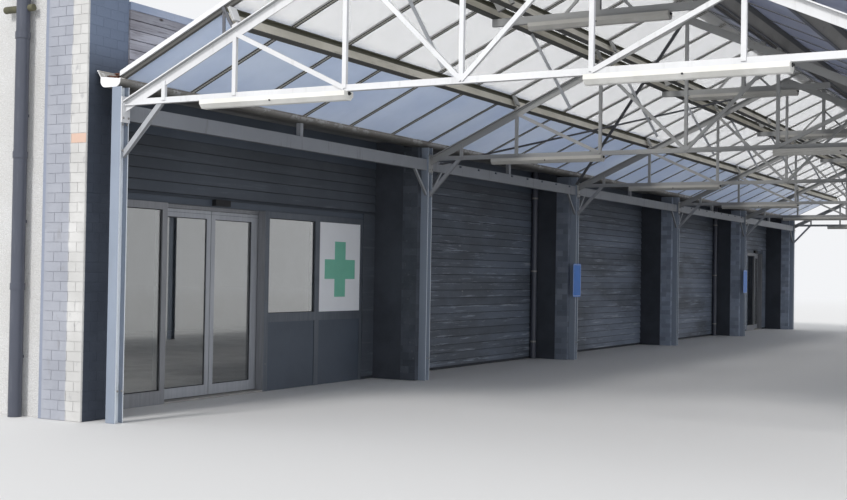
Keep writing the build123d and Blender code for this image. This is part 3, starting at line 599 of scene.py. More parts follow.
# lamps: cream housing above, grey milky cover on the bevels and underneath, its grey partly painted shade of
# faces that look down; farther under the roof they are painted darker as shade
def lampFinish():
    f = Finish("lampHousing", roughness=0.42)
    cloud = f.noise(4, 5, 0.6)
    cream = f.blend(cloud, (0.77, 0.76, 0.71), (0.84, 0.83, 0.79), 0.34, 0.68)
    cover = f.blend(cloud, (0.56, 0.555, 0.53), (0.68, 0.675, 0.65), 0.34, 0.68)
    # partly painted shade: faces that look down take the grey cover colour
    base = f.mix(f.facingDown(), cream, cover)
    # painted shade: lamps farther under the roof are darkened by half
    f.set("Base Color", f.mix(f.maths("MULTIPLY", f.paintedRoofShade(), 0.5), base, (0.17, 0.16, 0.145)))
    return f.material


finishes = {
    "concrete": concreteFinish(),
    "roughcast": roughcastFinish(),
    "roofing": membraneFinish(),
    "parapet_boards": parapetBoardFinish(),
    "coping_metal": copingFinish(),
    "painted_brick": cornerPaintFinish(),
    "dark_brick": darkBrickFinish(),
    "dark_plaster": darkPlasterFinish(),
    "dark_boards": lapBoardFinish(),
    "door_aluminium": doorMetalFinish(),
    "dark_panel": darkPanelFinish(),
    "white_panel": plainPlastic("whitePanel", (0.88, 0.90, 0.94), 0.45, 0.02),
    "window_glass": glassFinish(),
    "black_plastic": plainPlastic("blackPlastic", (0.012, 0.012, 0.014), 0.6, 0.3),
    "pipe_paint": steelPaint("pipePaint", (0.072, 0.080, 0.108), (0.16, 0.17, 0.20), 0.3, 0.2, 0.4),
    "blue_plate": plainPlastic("bluePlate", (0.015, 0.19, 0.68), 0.5, 0.12),
    # white paint; the grey under the roof is painted shade
    "canopy_paint": steelPaint(
        "canopyPaint", (0.745, 0.75, 0.765), (0.40, 0.395, 0.38), 0.3, 0.7, beyond=(0.36, 0.365, 0.365)),
    "purlin_paint": purlinFinish(),
    "bar_aluminium": barFinish(),
    "clear_sheet": sheetFinish(),
    "gutter_metal": gutterFinish(),
    "lamp_housing": lampFinish(),
}
# columns: their pale paint is drawn blue-grey on the sides and under the roof as painted shade, and
# near-white on the faces towards the front as painted light
columnPaint = steelPaint(
    "columnPaint", (0.275, 0.32, 0.40), (0.26, 0.27, 0.28), 0.3, 0.8,
    beyond=(0.28, 0.325, 0.395), front=(0.84, 0.89, 0.94))
bracingPaint = steelPaint("bracingPaint", (0.115, 0.120, 0.140), (0.20, 0.20, 0.20), 0.3, 0.5, 0.55)
# braces: grey paint darker than the trusses, painted shade
bracePaint = steelPaint("bracePaint", (0.37, 0.385, 0.41), (0.22, 0.22, 0.22), 0.4, 0.6, 0.55)
beamPaint = steelPaint("beamPaint", (0.29, 0.305, 0.33), (0.17, 0.17, 0.17), 0.6, 0.5, 0.55)
boltSteel = steelPaint("boltSteel", (0.30, 0.29, 0.28), (0.16, 0.12, 0.09), 0.8, 1.0, 0.6)
# the wall behind the boards, a little darker than them, partly painted shade for the gaps between boards
darkWall = plainPlastic("darkWall", (0.042, 0.047, 0.057), 0.85, 0.2)
leafMetal = leafMetalFinish()
rubber = plainPlastic("rubberSeal", (0.02, 0.021, 0.024), 0.7, 0.3)
crossGreen = plainPlastic("crossGreen", (0.20, 0.56, 0.42), 0.45, 0.06)
plateWhite = plainPlastic("plateWhite", (0.72, 0.73, 0.75), 0.35, 0.08)
stubPaint = plainPlastic("stubPaint", (0.13, 0.125, 0.075), 0.7, 0.4)
deadLeaf = plainPlastic("deadLeaf", (0.26, 0.115, 0.075), 0.8, 0.55)
ownFinishes = {
    "left_leaf_frame": leafMetal,
    "right_leaf_frame": leafMetal,
    "far_leaf_frame": leafMetal,
    "wall_columns": columnPaint,
    "front_columns": columnPaint,
    "tie_beams": beamPaint,
    "canopy_braces": bracePaint,
    "roof_bracing": bracingPaint,
    "front_walls": darkWall,
    "door_bay_walls": darkWall,
}

for part in frame["record"]["subparts"]:
    finish = ownFinishes.get(part["node"], finishes[part["material_slot"]])
    for slot in nodes[part["node"]].material_slots:
        slot.material = finish
print("finishes given to every node")


# Small helpers for new pieces
def newMesh():
    bm = bmesh.new()
    bm.faces.layers.float.new("tone")
    return bm


def setTone(bm, verts, tone):
    layer = bm.faces.layers.float["tone"]
    for vert in verts:
        for face in vert.link_faces:
            face[layer] = tone


def addBox(bm, low, high, tone=0.0):
    low = Vector(low)
    high = Vector(high)
    place = Matrix.Translation((low + high) / 2) @ Matrix.Diagonal((*(high - low), 1))
    verts = bmesh.ops.create_cube(bm, size=1.0, matrix=place)["verts"]
    setTone(bm, verts, tone)
    return verts


# a straight bar between two points, with its depth along up
def addBar(bm, start, end, width, depth, up):
    along = (end - start).normalized()
    side = Vector(up).cross(along).normalized()
    turn = Matrix((along, side, along.cross(side))).transposed().to_4x4()
    size = Matrix.Diagonal(((end - start).length, width, depth, 1))
    bmesh.ops.create_cube(bm, size=1.0, matrix=Matrix.Translation((start + end) / 2) @ turn @ size)


def addRod(bm, start, end, radius, sides=6):
    start = Vector(start)
    end = Vector(end)
    turn = (end - start).to_track_quat("Z", "Y").to_matrix().to_4x4()
    bmesh.ops.create_cone(
        bm, cap_ends=True, cap_tris=False, segments=sides, radius1=radius, radius2=radius,
        depth=(end - start).length, matrix=Matrix.Translation((start + end) / 2) @ turn)


# four bars round the edge of an upright rectangle: the first two stand at the ends of the given axis
# and run the whole way, the other two fit between them
def addFrame(bm, low, high, wide, axis=0):
    for across, inset in ((axis, 0.0), (2 - axis, wide)):
        for start in (low[across], high[across] - wide):
            first = Vector(low)
            last = Vector(high)
            first[2 - across] += inset
            last[2 - across] -= inset
            first[across] = start
            last[across] = start + wide
            addBox(bm, first, last)


def soften(bm, width, segments=1):
    bmesh.ops.bevel(
        bm, geom=bm.edges[:], offset=width, offset_type="OFFSET", segments=segments, profile=0.5,
        affect="EDGES", clamp_overlap=True, material=-1)


def newPiece(name, bm, slot, material=None, body="building", smooth=False):
    bmesh.ops.recalc_face_normals(bm, faces=bm.faces)
    mesh = bpy.data.meshes.new(name)
    bm.to_mesh(mesh)
    bm.free()
    mesh.materials.append(material or finishes[slot])
    if smooth:
        mesh.shade_smooth()
    piece = bpy.data.objects.new(name, mesh)
    scene.collection.objects.link(piece)
    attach(piece, body)
    print("  made", name, "with", len(mesh.polygons), "faces")
    return piece


# Lap boards on the recessed front, each a wedge that is thickest at its lower edge
boards = {
    "exposure": 0.127, "lower": 0.022, "upper": 0.008, "gap": 0.008, "least": 0.5, "leastHigh": 0.02,
    "foot": 0.045, "top": 3.05, "bandOut": 0.020, "bandGap": 0.004, "edge": 0.0012, "sideGap": 0.002,
    "plainOut": 0.015, "plainTone": -0.6,
}
bays = [(cornerHigh.x, returnBoxes[0][0].x, entranceStrip)]
for nearer, farther, strip in zip(returnBoxes, returnBoxes[1:], (None, None, None, farStrip)):
    bays.append((nearer[1].x, farther[0].x, strip))


# a flat box on the recessed wall
def addFlat(bm, left, right, out, low, high, tone=0.0):
    first = (left + boards["sideGap"], recessY - out, low)
    return addBox(bm, first, (right - boards["sideGap"], recessY, high), tone)


def layBoards(bm, rng, left, right, low, high):
    count = math.ceil((high - low) / boards["exposure"] - 0.01)
    for row in range(count):
        top = high - row * boards["exposure"]
        bottom = max(top - boards["exposure"] + boards["gap"], low)
        if top - bottom < boards["leastHigh"]:
            continue
        for vert in addFlat(bm, left, right, boards["lower"], bottom, top, rng.uniform(-1, 1)):
            if vert.co.z > top - 0.001 and vert.co.y < recessY - 0.001:
                vert.co.y = recessY - boards["upper"]


def lapBoards():
    rng = random.Random(3)
    bm = newMesh()
    foot = boards["foot"]
    for left, right, strip in bays:
        if strip is None:
            layBoards(bm, rng, left, right, foot, boards["top"])
            continue
        head = strip[1].z
        layBoards(bm, rng, left, right, head, boards["top"])
        for start, end in ((left, strip[0].x), (strip[1].x, right)):
            if end - start > boards["least"]:
                layBoards(bm, rng, start, end, foot, head)
            else:
                addFlat(bm, start, end, boards["plainOut"], foot, head - 0.002, boards["plainTone"])
    soften(bm, boards["edge"])
    newPiece("lapBoards", bm, "dark_boards")


def upperBands():
    bm = newMesh()
    for left, right, strip in bays:
        addFlat(bm, left, right, boards["bandOut"], boards["top"] + boards["bandGap"], soffitZ)
    soften(bm, 0.003)
    newPiece("upperBands", bm, "dark_panel")


# Brickwork laid as thin faces over the plain piers. A side is the way it runs and the way it looks
brick = {
    "length": 0.205, "course": 0.1, "joint": 0.005, "out": 0.005, "edge": 0.0016, "least": 0.03,
    "faint": 0.0022, "front": ((1, 0), (0, -1)), "left": ((0, 1), (-1, 0)), "right": ((0, 1), (1, 0)),
}


def layBricks(bm, rng, x, y, side, length, height, out=brick["out"]):
    start = Vector((x, y, 0))
    along, outward = [Vector((*way, 0)) for way in brick[side]]
    gap = brick["joint"] / 2
    for row in range(math.ceil(height / brick["course"] - 0.01)):
        bottom = row * brick["course"]
        top = min(bottom + brick["course"], height)
        edge = -brick["length"] / 2 if row % 2 else 0.0
        while edge < length:
            near = max(edge, 0.0)
            far = min(edge + brick["length"], length)
            edge += brick["length"]
            if far - near < brick["least"]:
                continue
            first, last = corners((start + along * (near + gap), start + along * (far - gap) + outward * out))
            first.z = bottom + gap
            last.z = top - gap
            addBox(bm, first, last, rng.uniform(-1, 1))


def cornerBricks():
    rng = random.Random(5)
    bm = newMesh()
    x, y = cornerLow.xy
    depth = cornerHigh.y - y - cornerSet["strip"]
    layBricks(bm, rng, x, y, "left", depth, cornerHigh.z)
    place = Vector((x, y + depth * cornerSet["bareShare"], cornerSet["bareHeight"]))
    bare = min(bm.faces, key=lambda face: (face.calc_center_median() - place).length)
    setTone(bm, bare.verts, cornerSet["bareTone"])
    layBricks(bm, rng, x, y, "front", cornerHigh.x - x, cornerHigh.z, brick["faint"])
    layBricks(bm, rng, cornerHigh.x, y, "right", recessY - y, soffitZ)
    soften(bm, brick["edge"])
    newPiece("cornerBricks", bm, "painted_brick")


def pierBricks():
    rng = random.Random(6)
    bm = newMesh()
    for low, high in solidBoxes("brick_piers"):
        wing = (high.x - low.x) / 2 - halfColumn
        for x in (low.x, (low.x + high.x) / 2 + halfColumn):
            layBricks(bm, rng, x, low.y, "front", wing, high.z)
        layBricks(bm, rng, low.x, low.y, "left", high.y - low.y, high.z)
        if high.x < cadBox[1].x - 0.03:
            layBricks(bm, rng, high.x, low.y, "right", high.y - low.y, high.z)
    soften(bm, brick["edge"])
    newPiece("pierBricks", bm, "dark_brick")


# Weathered boards on the parapet, with open joints
parapet = {
    "board": 0.105, "joint": 0.008, "thick": 0.022, "uneven": 0.002, "edge": 0.002, "endGap": 0.004,
    "short": 3.2, "long": 4.6, "leastLong": 0.8, "leastHigh": 0.02,
}


def parapetBoards():
    rng = random.Random(8)
    bm = newMesh()
    rows = int((parapetHigh.z - parapetLow.z) / parapet["board"])
    for row in range(rows + 1):
        top = parapetHigh.z - row * parapet["board"]
        bottom = max(top - parapet["board"] + parapet["joint"], parapetLow.z)
        if top - bottom < parapet["leastHigh"]:
            continue
        x = parapetLow.x + 0.002
        while x < parapetHigh.x - 0.01:
            end = x + rng.uniform(parapet["short"], parapet["long"])
            if parapetHigh.x - end < parapet["leastLong"]:
                end = parapetHigh.x
            out = parapet["thick"] + rng.uniform(-parapet["uneven"], parapet["uneven"])
            last = (end - parapet["endGap"], parapetLow.y, top)
            addBox(bm, (x, parapetLow.y - out, bottom), last, rng.uniform(-1, 1))
            x = end
    soften(bm, parapet["edge"])
    newPiece("parapetBoards", bm, "parapet_boards")


# Folded metal copings: a wide lower step, a narrower cap and saddles over the joints
coping = {
    "step": 0.052, "inset": 0.012, "saddle": 0.06, "saddleHigh": 0.003, "saddleOut": 0.004,
    "spacing": 3.0, "edge": 0.004,
}


def metalCopings():
    bm = newMesh()
    saddles = newMesh()
    for low, high in solidBoxes("parapet_coping"):
        step = low.z + coping["step"]
        inset = coping["inset"]
        addBox(bm, low, (high.x, high.y, step))
        top = high.z - coping["saddleHigh"]
        addBox(bm, (low.x + inset, low.y + inset, step), (high.x - inset, high.y - inset, top))
        axis = 0 if high.x - low.x > high.y - low.y else 1
        length = high[axis] - low[axis]
        count = int(length / coping["spacing"])
        for number in range(1, count + 1):
            middle = low[axis] + length * number / (count + 1)
            shift = inset - coping["saddleOut"]
            first = Vector((low.x + shift, low.y + shift, step))
            last = Vector((high.x - shift, high.y - shift, high.z))
            first[axis] = middle - coping["saddle"] / 2
            last[axis] = middle + coping["saddle"] / 2
            addBox(saddles, first, last)
    soften(bm, coping["edge"], 2)
    soften(saddles, 0.0015)
    piece = newPiece("metalCopings", bm, "coping_metal")
    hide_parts("parapet_coping")
    newPiece("copingSaddles", saddles, "coping_metal")


# Seams of the roofing sheets on the flat roof
def roofSeams():
    seam = {"spacing": 1.0, "width": 0.09, "high": 0.004}
    low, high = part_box("roof_deck")
    bm = newMesh()
    count = int((high.x - low.x) / seam["spacing"])
    for number in range(1, count):
        x = low.x + number * (high.x - low.x) / count
        front = parapetHigh.y if x > cornerHigh.x + seam["width"] else cornerHigh.y
        addBox(bm, (x, front, high.z), (x + seam["width"], high.y, high.z + seam["high"]), 0.6)
    newPiece("roofSeams", bm, "roofing")


print("building fronts")
lapBoards()
upperBands()
cornerBricks()
pierBricks()
parapetBoards()
metalCopings()
roofSeams()


# a point over one slope (side 1 is the wall slope, -1 the front slope): its reach from the ridge along
# the ground, and its height square to the upper side of the sheets
def onRoof(x, side, reach, height=0.0):
    z = eaveTop + (eaveReach - reach) * roofRise
    return Vector((x, ridgeY + side * reach, z)) + slopeUp(side) * height


def slopeUp(side):
    return Vector((0, side * math.sin(slopeAngle), math.cos(slopeAngle)))


# Dark seals under both edges of every glazing bar, and screws along its cap
roofTrim = {
    "sealWide": 0.019, "sealDeep": 0.0015, "sealShort": 0.02, "screw": 0.007, "screwHigh": 0.0025,
    "firstScrew": 0.25, "screwStep": 0.48,
}


def barDetails():
    seals = newMesh()
    screws = newMesh()
    height = slopeLevels["flangeUnder"] - roofTrim["sealDeep"] / 2
    for x in barX:
        for side in (1, -1):
            for edge in (-1, 1):
                place = x + edge * (barHalf - roofTrim["sealWide"] / 2 - 0.001)
                start = onRoof(place, side, eaveReach - roofTrim["sealShort"], height)
                end = onRoof(place, side, ridgeReach + roofTrim["sealShort"], height)
                addBar(seals, start, end, roofTrim["sealWide"], roofTrim["sealDeep"], slopeUp(side))
            reach = ridgeReach + roofTrim["firstScrew"]
            while reach < eaveReach - 0.1:
                foot = onRoof(x, side, reach, roofTrim["screwHigh"])
                addRod(screws, foot, foot + slopeUp(side) * roofTrim["screwHigh"], roofTrim["screw"])
                reach += roofTrim["screwStep"]
    newPiece("barSeals", seals, "black_plastic", rubber)
    newPiece("barScrews", screws, "bar_aluminium", boltSteel)


# Cleats that hold the purlins to the top chords, and plates that tie the two upper purlins together
cleat = {
    "high": 0.15, "wide": 0.11, "thick": 0.008, "out": 0.008, "link": 0.045, "linkDeep": 0.12,
    "linkDrop": -0.105, "linkGap": 0.004,
}


def purlinCleats():
    bm = newMesh()
    height = (slopeLevels["purlinFoot"] + slopeLevels["purlinTop"]) / 2
    for low, high in purlinBoxes:
        reach = abs((low.y + high.y) / 2 - ridgeY)
        side = 1 if low.y > ridgeY else -1
        down = Vector((0, side * math.cos(slopeAngle), -math.sin(slopeAngle)))
        for x in columnX:
            for way in (-1, 1):
                start = onRoof(x - cleat["wide"] / 2, side, reach, height) + down * way * cleat["out"]
                end = start + Vector((cleat["wide"], 0, 0))
                addBar(bm, start, end, cleat["thick"], cleat["high"], slopeUp(side))
    soften(bm, 0.0015)
    newPiece("purlinCleats", bm, "canopy_paint")


def purlinLinks():
    bm = newMesh()
    reaches = sorted({round(abs((low.y + high.y) / 2 - ridgeY), 3) for low, high in purlinBoxes})
    for low, high in solidBoxes("lamp_rails"):
        x = (low.x + high.x) / 2
        for side in (1, -1):
            start = onRoof(x, side, reaches[0] + cleat["linkGap"], cleat["linkDrop"])
            end = onRoof(x, side, reaches[1] - cleat["linkGap"], cleat["linkDrop"])
            addBar(bm, start, end, cleat["link"], cleat["linkDeep"], slopeUp(side))
    soften(bm, 0.002)
    newPiece("purlinLinks", bm, "canopy_paint")


# short struts at the ends of the lower purlins, on the near gable: one down the slope, one upright
endStrut = {
    "wide": 0.034, "thick": 0.012, "out": 0.012, "slant": ((0.081, 0.0), (-0.043, -0.202)),
    "upright": ((0.068, -0.05), (0.063, -0.251)),
}


def endStruts():
    bm = newMesh()
    x = columnX[0] - endStrut["out"]
    purlinTop = max(high.z for low, high in purlinBoxes if low.y > ridgeY + middlePurlinReach - 0.2)
    for side in (1, -1):
        middle = ridgeY + side * middlePurlinReach
        for key in ("slant", "upright"):
            top, foot = [Vector((x, middle + side * away, purlinTop + drop)) for away, drop in endStrut[key]]
            addBar(bm, top, foot, endStrut["thick"], endStrut["wide"], (0, 1, 0))
    soften(bm, 0.0015)
    # painted shade: the struts take the dark bracing paint of their unlit side
    newPiece("endStruts", bm, "canopy_paint", bracingPaint)


print("roof trims")
barDetails()
purlinCleats()
purlinLinks()
endStruts()


# Gutters: rolled beads, straps that rise across the top, and fallen leaves at the near end
gutterSet = {
    "bead": 0.008, "rim": 0.1, "width": 0.26, "strapWide": 0.025, "strapStep": 0.95, "strapEnd": 0.2,
    "strapRise": 0.028, "leafCount": 260, "leafShort": 0.045, "leafLong": 0.09, "leafWide": 0.62,
    "leafThick": 0.0012, "leafMargin": 0.04, "leafStart": 0.03, "leafSpread": 1.0,
    "leafHeights": (0.05, 0.075), "heapLong": 0.6, "heapHeights": (0.02, 0.085),
}


def gutterDetails():
    beads = newMesh()
    straps = newMesh()
    bead = gutterSet["bead"]
    for low, high in solidBoxes("gutters"):
        inner, outer, way = (low.y, high.y, 1) if low.y > ridgeY else (high.y, low.y, -1)
        rim = high.z - gutterSet["rim"]
        for y, z in ((inner + way * bead * 0.6, rim), (outer - way * bead, high.z - bead)):
            addRod(beads, (low.x + 0.002, y, z), (high.x - 0.002, y, z), bead, 10)
        count = int((high.x - low.x) / gutterSet["strapStep"])
        first, last = sorted((inner, inner + way * gutterSet["width"]))
        for number in range(count + 1):
            x = low.x + gutterSet["strapEnd"]
            x += number * (high.x - low.x - 2 * gutterSet["strapEnd"]) / count
            end = (x + gutterSet["strapWide"], last - 0.004, rim - 0.001)
            for vert in addBox(straps, (x, first + 0.004, rim - 0.004), end):
                if abs(vert.co.y - inner) > 0.1:
                    vert.co.z += gutterSet["strapRise"]
    newPiece("gutterBeads", beads, "gutter_metal", smooth=True)
    newPiece("gutterStraps", straps, "gutter_metal")


def fallenLeaves():
    rng = random.Random(12)
    bm = newMesh()
    low, high = solidBoxes("gutters")[1]
    front = low.y + gutterSet["leafMargin"]
    back = low.y + gutterSet["width"] - gutterSet["leafMargin"]
    for number in range(gutterSet["leafCount"]):
        x = low.x + gutterSet["leafStart"] + abs(rng.gauss(0, gutterSet["leafSpread"]))
        if x > high.x - 0.1:
            continue
        y = rng.uniform(front, back)
        heap = max(0.0, 1 - (x - low.x) / gutterSet["heapLong"])
        z = low.z + rng.uniform(*gutterSet["leafHeights"]) + heap * rng.uniform(*gutterSet["heapHeights"])
        turn = Matrix.Rotation(rng.uniform(0, 6.3), 4, "Z") @ Matrix.Rotation(rng.uniform(-1.1, 1.1), 4, "X")
        size = rng.uniform(gutterSet["leafShort"], gutterSet["leafLong"])
        scale = Matrix.Diagonal((size, size * gutterSet["leafWide"], gutterSet["leafThick"], 1))
        verts = bmesh.ops.create_cone(
            bm, cap_ends=True, cap_tris=False, segments=6, radius1=0.5, radius2=0.46, depth=1.0,
            matrix=Matrix.Translation((x, y, z)) @ turn @ scale)["verts"]
        lift = (turn @ Vector((0, 0, 1))).xyz
        for vert in verts:
            away = (vert.co - Vector((x, y, z))).length / size
            vert.co += lift * away * away * size * 0.5  # curls the rim up
    newPiece("fallenLeaves", bm, "gutter_metal", deadLeaf)


print("gutters")
gutterDetails()
fallenLeaves()


# Bolts through the plates at the column heads and on the column faces
bolts = {
    "radius": 0.011, "head": 0.009, "acrossPlate": 0.038, "rows": (-0.085, 0.085), "plateThick": 0.012,
    "plateUp": 0.13, "faceHeights": (3.24, 2.98, 2.72, 0.32), "faceOut": 0.03,
}


def columnBolts():
    bm = newMesh()
    trussLow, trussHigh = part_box("truss_1")
    plateZ = trussLow.z + bolts["plateUp"]

    def addPair(x, apart, start, end, z):
        for dx in (-apart, apart):
            addRod(bm, (x + dx, start, z), (x + dx, end, z), bolts["radius"])

    for x in columnX:
        for rowY, way in ((trussHigh.y, -1), (trussLow.y, 1)):
            face = rowY + way * bolts["plateThick"]
            for dz in bolts["rows"]:
                addPair(x, bolts["acrossPlate"], face, face + way * bolts["head"], plateZ + dz)
        for rowY in (wallRowY, frontRowY):
            face = rowY - halfColumn
            for z in bolts["faceHeights"]:
                addPair(x, bolts["faceOut"], face + 0.001, face - bolts["head"], z)
    newPiece("columnBolts", bm, "canopy_paint", boltSteel)


# Lugs on the front of the tie beams of the second and fourth bay, just under their upper edge
lug = {"step": 0.58, "wide": 0.05, "high": 0.028, "out": 0.012, "drop": 0.012}


def beamLugs():
    bm = newMesh()
    beams = [box for box in solidBoxes("tie_beams") if box[0].y > ridgeY]
    for low, high in (beams[1], beams[3]):
        count = int((high.x - low.x) / lug["step"])
        top = high.z - lug["drop"]
        for number in range(count):
            x = low.x + (number + 0.5) * (high.x - low.x) / count
            first = (x - lug["wide"] / 2, low.y - lug["out"], top - lug["high"])
            addBox(bm, first, (x + lug["wide"] / 2, low.y, top))
    soften(bm, 0.002)
    newPiece("beamLugs", bm, "dark_panel")


print("steel details")
columnBolts()
beamLugs()


# Strip lamps: end caps on the two-step profile, a small catch in the middle and a cable gland
lampSet = {"cap": 0.012, "capOut": 0.0015, "side": 0.042, "catch": 0.016, "catchOut": 0.003, "gland": 0.011}


# a box over the upright sides of a lamp and a tapered one over its bevels
def wrapLamp(bm, low, high, first, last):
    out = lampSet["capOut"]
    step = high.z - lampSet["side"]
    addBox(bm, (low.x - out, first, step), (high.x + out, last, high.z - 0.0005))
    x = (low.x + high.x) / 2
    for vert in addBox(bm, (low.x - out, first, low.z - out), (high.x + out, last, step)):
        if vert.co.z < step - 0.01:
            vert.co.x = x + (vert.co.x - x) * 0.5


def lampDetails():
    caps = newMesh()
    catches = newMesh()
    glands = newMesh()
    out = lampSet["catchOut"]
    half = lampSet["catch"] / 2
    for low, high in solidBoxes("strip_lamps"):
        x = (low.x + high.x) / 2
        y = (low.y + high.y) / 2
        wrapLamp(caps, low, high, low.y - 0.001, low.y + lampSet["cap"])
        wrapLamp(caps, low, high, high.y - lampSet["cap"], high.y + 0.001)
        edge = high.z - lampSet["side"]
        for first, last in ((low.x - out, low.x + 0.01), (high.x - 0.01, high.x + out)):
            addBox(catches, (first, y - half, edge - 0.01), (last, y + half, edge + 0.004))
        z = high.z - lampSet["side"] / 2
        for length, radius, sides in ((0.022, lampSet["gland"], 10), (0.01, lampSet["gland"] * 1.5, 6)):
            addRod(glands, (x, low.y, z), (x, low.y - length, z), radius, sides)
    newPiece("lampEndCaps", caps, "lamp_housing")
    newPiece("lampCatches", catches, "black_plastic", rubber)
    newPiece("lampGlands", glands, "black_plastic", rubber)


print("lamps")
lampDetails()


# Seals round the panes, a groove in each leaf's head and dark brushes on its meeting edge, and screws
doorTrim = {
    "seal": 0.009, "sealOut": 0.004, "grooveUp": 0.055, "groove": 0.003, "grooveShort": 0.004,
    "brushOut": 0.003, "brushHalf": 0.004, "brushHigh": 2.2, "screw": 0.007, "screwOut": 0.0015,
    "screwAside": 0.048, "screwHeights": (0.35, 1.15, 1.95),
}


def paneSeal(bm, low, high):
    front = (low.x, low.y - doorTrim["sealOut"], low.z)
    addFrame(bm, front, (high.x, low.y + 0.001, high.z), doorTrim["seal"])


def glazingSeals():
    bm = newMesh()
    for low, high in solidBoxes("fixed_glass"):
        paneSeal(bm, low, high)
    newPiece("paneSeals", bm, "black_plastic", rubber)
    short = doorTrim["grooveShort"]
    for side in ("left", "right", "far"):
        body = side + "_leaf"
        bm = newMesh()
        low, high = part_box(body + "_glass")
        paneSeal(bm, low, high)
        z = high.z + doorTrim["grooveUp"]
        low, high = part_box(body + "_frame")
        end = (high.x - short, low.y + 0.0005, z + doorTrim["groove"])
        addBox(bm, (low.x + short, low.y - 0.0008, z), end)
        newPiece(side + "LeafSeals", bm, "black_plastic", rubber, body)


def meetingBrushes():
    for body, way in (("left_leaf", 1), ("right_leaf", -1)):
        low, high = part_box(body + "_frame")
        edge = high.x if way > 0 else low.x
        first, last = sorted((edge, edge + way * doorTrim["brushOut"]))
        y = (low.y + high.y) / 2
        bm = newMesh()
        foot = (first, y - doorTrim["brushHalf"], low.z + 0.01)
        addBox(bm, foot, (last, y + doorTrim["brushHalf"], low.z + doorTrim["brushHigh"]))
        newPiece(body.replace("_", "") + "Brush", bm, "black_plastic", rubber, body)


def frameScrews():
    bm = newMesh()
    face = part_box("door_posts")[0].y
    x = doorRight + doorTrim["screwAside"]
    for z in doorTrim["screwHeights"]:
        addRod(bm, (x, face, z), (x, face - doorTrim["screwOut"], z), doorTrim["screw"], 12)
    newPiece("frameScrews", bm, "door_aluminium", boltSteel)


# a plain green cross with equal arms: a grid of nine faces without its corners
cross = {"reach": 0.385, "arm": 0.135, "thick": 0.005, "drop": -0.03}


def signCross():
    low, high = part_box("sign_panel")
    bm = newMesh()
    bmesh.ops.create_grid(bm, x_segments=3, y_segments=3, size=1.5)
    outer = [face for face in bm.faces if all(abs(part) > 0.6 for part in face.calc_center_median().xy)]
    bmesh.ops.delete(bm, geom=outer, context="FACES")
    grown = bmesh.ops.extrude_face_region(bm, geom=bm.faces[:])["geom"]
    raised = [part for part in grown if isinstance(part, bmesh.types.BMVert)]
    bmesh.ops.translate(bm, verts=raised, vec=(0, 0, cross["thick"]))
    place = Vector(((low.x + high.x) / 2, low.y, (low.z + high.z) / 2 + cross["drop"]))
    for vert in bm.verts:
        across, up = [
            math.copysign(cross["reach"] if abs(part) > 1 else cross["arm"], part) for part in vert.co.xy]
        vert.co = place + Vector((across, -vert.co.z, up))
    newPiece("signCross", bm, "white_panel", crossGreen)


print("entrance details")
glazingSeals()
meetingBrushes()
frameScrews()
signCross()


# Straps on the downpipes in the recess, and a short level pipe from the wall to the corner pipe
pipeSet = {
    "radius": 0.055, "strap": 0.03, "out": 0.003, "heights": (0.3, 1.6, 2.95), "stub": 0.037,
    "stubHeight": 4.225, "stubFront": 0.13, "stubBack": 0.28, "stubOff": 0.075,
}


def pipeDetails():
    straps = newMesh()
    stub = newMesh()
    for low, high in solidBoxes("downpipes"):
        if low.x < cornerLow.x:
            y = (low.y + high.y) / 2
            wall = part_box("left_wall")[0].x - pipeSet["stubOff"]
            start = (wall, y - pipeSet["stubFront"], pipeSet["stubHeight"])
            addRod(stub, start, (wall, y + pipeSet["stubBack"], pipeSet["stubHeight"]), pipeSet["stub"], 24)
            soften(stub, 0.008, 2)
            continue
        x = (low.x + high.x) / 2
        y = low.y + pipeSet["radius"]
        for z in pipeSet["heights"]:
            addRod(straps, (x, y, z), (x, y, z + pipeSet["strap"]), pipeSet["radius"] + pipeSet["out"], 32)
    newPiece("pipeStraps", straps, "pipe_paint", boltSteel)
    newPiece("pipeStub", stub, "pipe_paint", stubPaint)


print("pipes")
pipeDetails()


# Thin white lines round the blue plates
border = {"line": 0.006, "inset": 0.016, "out": 0.0012}


def plateBorders():
    bm = newMesh()
    inset = Vector((border["inset"], 0, border["inset"]))
    for low, high in solidBoxes("column_plates"):
        front = low - Vector((0, border["out"], 0))
        addFrame(bm, front + inset, Vector((high.x, low.y, high.z)) - inset, border["line"], 2)
    newPiece("plateBorders", bm, "blue_plate", plateWhite)


plateBorders()


# Light: a pale world, a soft key lamp from the left, a weak one from the front, and a pale floor that
# fades into the background
lightSet = {
    "background": (0.90, 0.91, 0.93),
    "backgroundStrength": 1.0,
    "fill": (0.94, 0.965, 1.0),
    "fillStrength": 0.76,
    "keyFrom": (-0.85, 0.12, 0.60),
    "keyColour": (1.0, 0.98, 0.95),
    "keyStrength": 1.85,
    "keyAngle": 12,
    "frontFrom": (-0.42, -0.85, 0.25),
    "frontColour": (0.93, 0.96, 1.0),
    "frontStrength": 0.62,
    "frontAngle": 70,
    "floor": (0.74, 0.735, 0.73),
    "floorRadius": 500,
    "fadeFrom": 26,
    "fadeTo": 90,
}


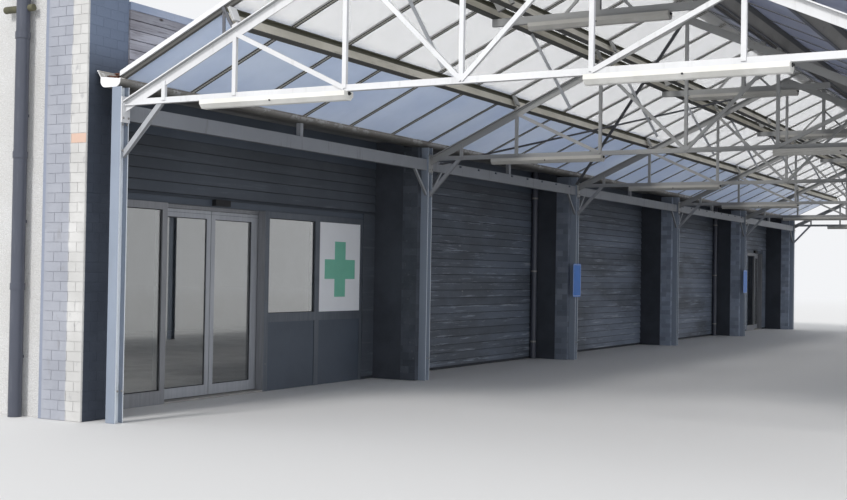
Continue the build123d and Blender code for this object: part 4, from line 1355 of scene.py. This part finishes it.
def makeWorld():
    world = bpy.data.worlds.new("studio")
    scene.world = world
    world.use_nodes = True
    tree = world.node_tree
    tree.nodes.clear()
    path = tree.nodes.new("ShaderNodeLightPath").outputs
    shown = path["Is Camera Ray"]
    for ray in ("Is Glossy Ray", "Is Transmission Ray"):
        either = tree.nodes.new("ShaderNodeMath")
        either.operation = "MAXIMUM"
        tree.links.new(shown, either.inputs[0])
        tree.links.new(path[ray], either.inputs[1])
        shown = either.outputs[0]
    mix = tree.nodes.new("ShaderNodeMixShader")
    tree.links.new(shown, mix.inputs[0])
    for number, key in ((1, "fill"), (2, "background")):
        sky = tree.nodes.new("ShaderNodeBackground")
        sky.inputs["Color"].default_value = (*lightSet[key], 1)
        sky.inputs["Strength"].default_value = lightSet[key + "Strength"]
        tree.links.new(sky.outputs[0], mix.inputs[number])
    tree.links.new(mix.outputs[0], tree.nodes.new("ShaderNodeOutputWorld").inputs[0])


def makeLamp(name):
    data = bpy.data.lights.new(name + "Lamp", "SUN")
    data.energy = lightSet[name + "Strength"]
    data.color = lightSet[name + "Colour"]
    data.angle = math.radians(lightSet[name + "Angle"])
    lamp = bpy.data.objects.new(name + "Lamp", data)
    lamp.rotation_euler = (-Vector(lightSet[name + "From"])).to_track_quat("-Z", "Y").to_euler()
    scene.collection.objects.link(lamp)


def makeFloor():
    bm = bmesh.new()
    bmesh.ops.create_circle(bm, cap_ends=True, cap_tris=False, segments=96, radius=lightSet["floorRadius"])
    bmesh.ops.translate(bm, verts=bm.verts, vec=(0, 0, -0.002))
    mesh = bpy.data.meshes.new("paleFloor")
    bm.to_mesh(mesh)
    bm.free()
    floor = bpy.data.objects.new("paleFloor", mesh)
    scene.collection.objects.link(floor)
    f = Finish("paleFloor", lightSet["floor"], 0.8)
    tree = f.tree
    glow = tree.nodes.new("ShaderNodeEmission")
    glow.inputs[0].default_value = (*lightSet["background"], 1)
    away = f.add("ShaderNodeVectorMath", {0: f.coords}, operation="LENGTH").outputs["Value"]
    fade = f.span(away, lightSet["fadeFrom"], lightSet["fadeTo"])
    mix = tree.nodes.new("ShaderNodeMixShader")
    output = next(node for node in tree.nodes if node.type == "OUTPUT_MATERIAL")
    tree.links.new(fade, mix.inputs[0])
    tree.links.new(f.shader.outputs[0], mix.inputs[1])
    tree.links.new(glow.outputs[0], mix.inputs[2])
    tree.links.new(mix.outputs[0], output.inputs["Surface"])
    mesh.materials.append(f.material)


makeWorld()
makeLamp("key")
makeLamp("front")
makeFloor()
scene.view_settings.view_transform = "Standard"
print("light and floor")
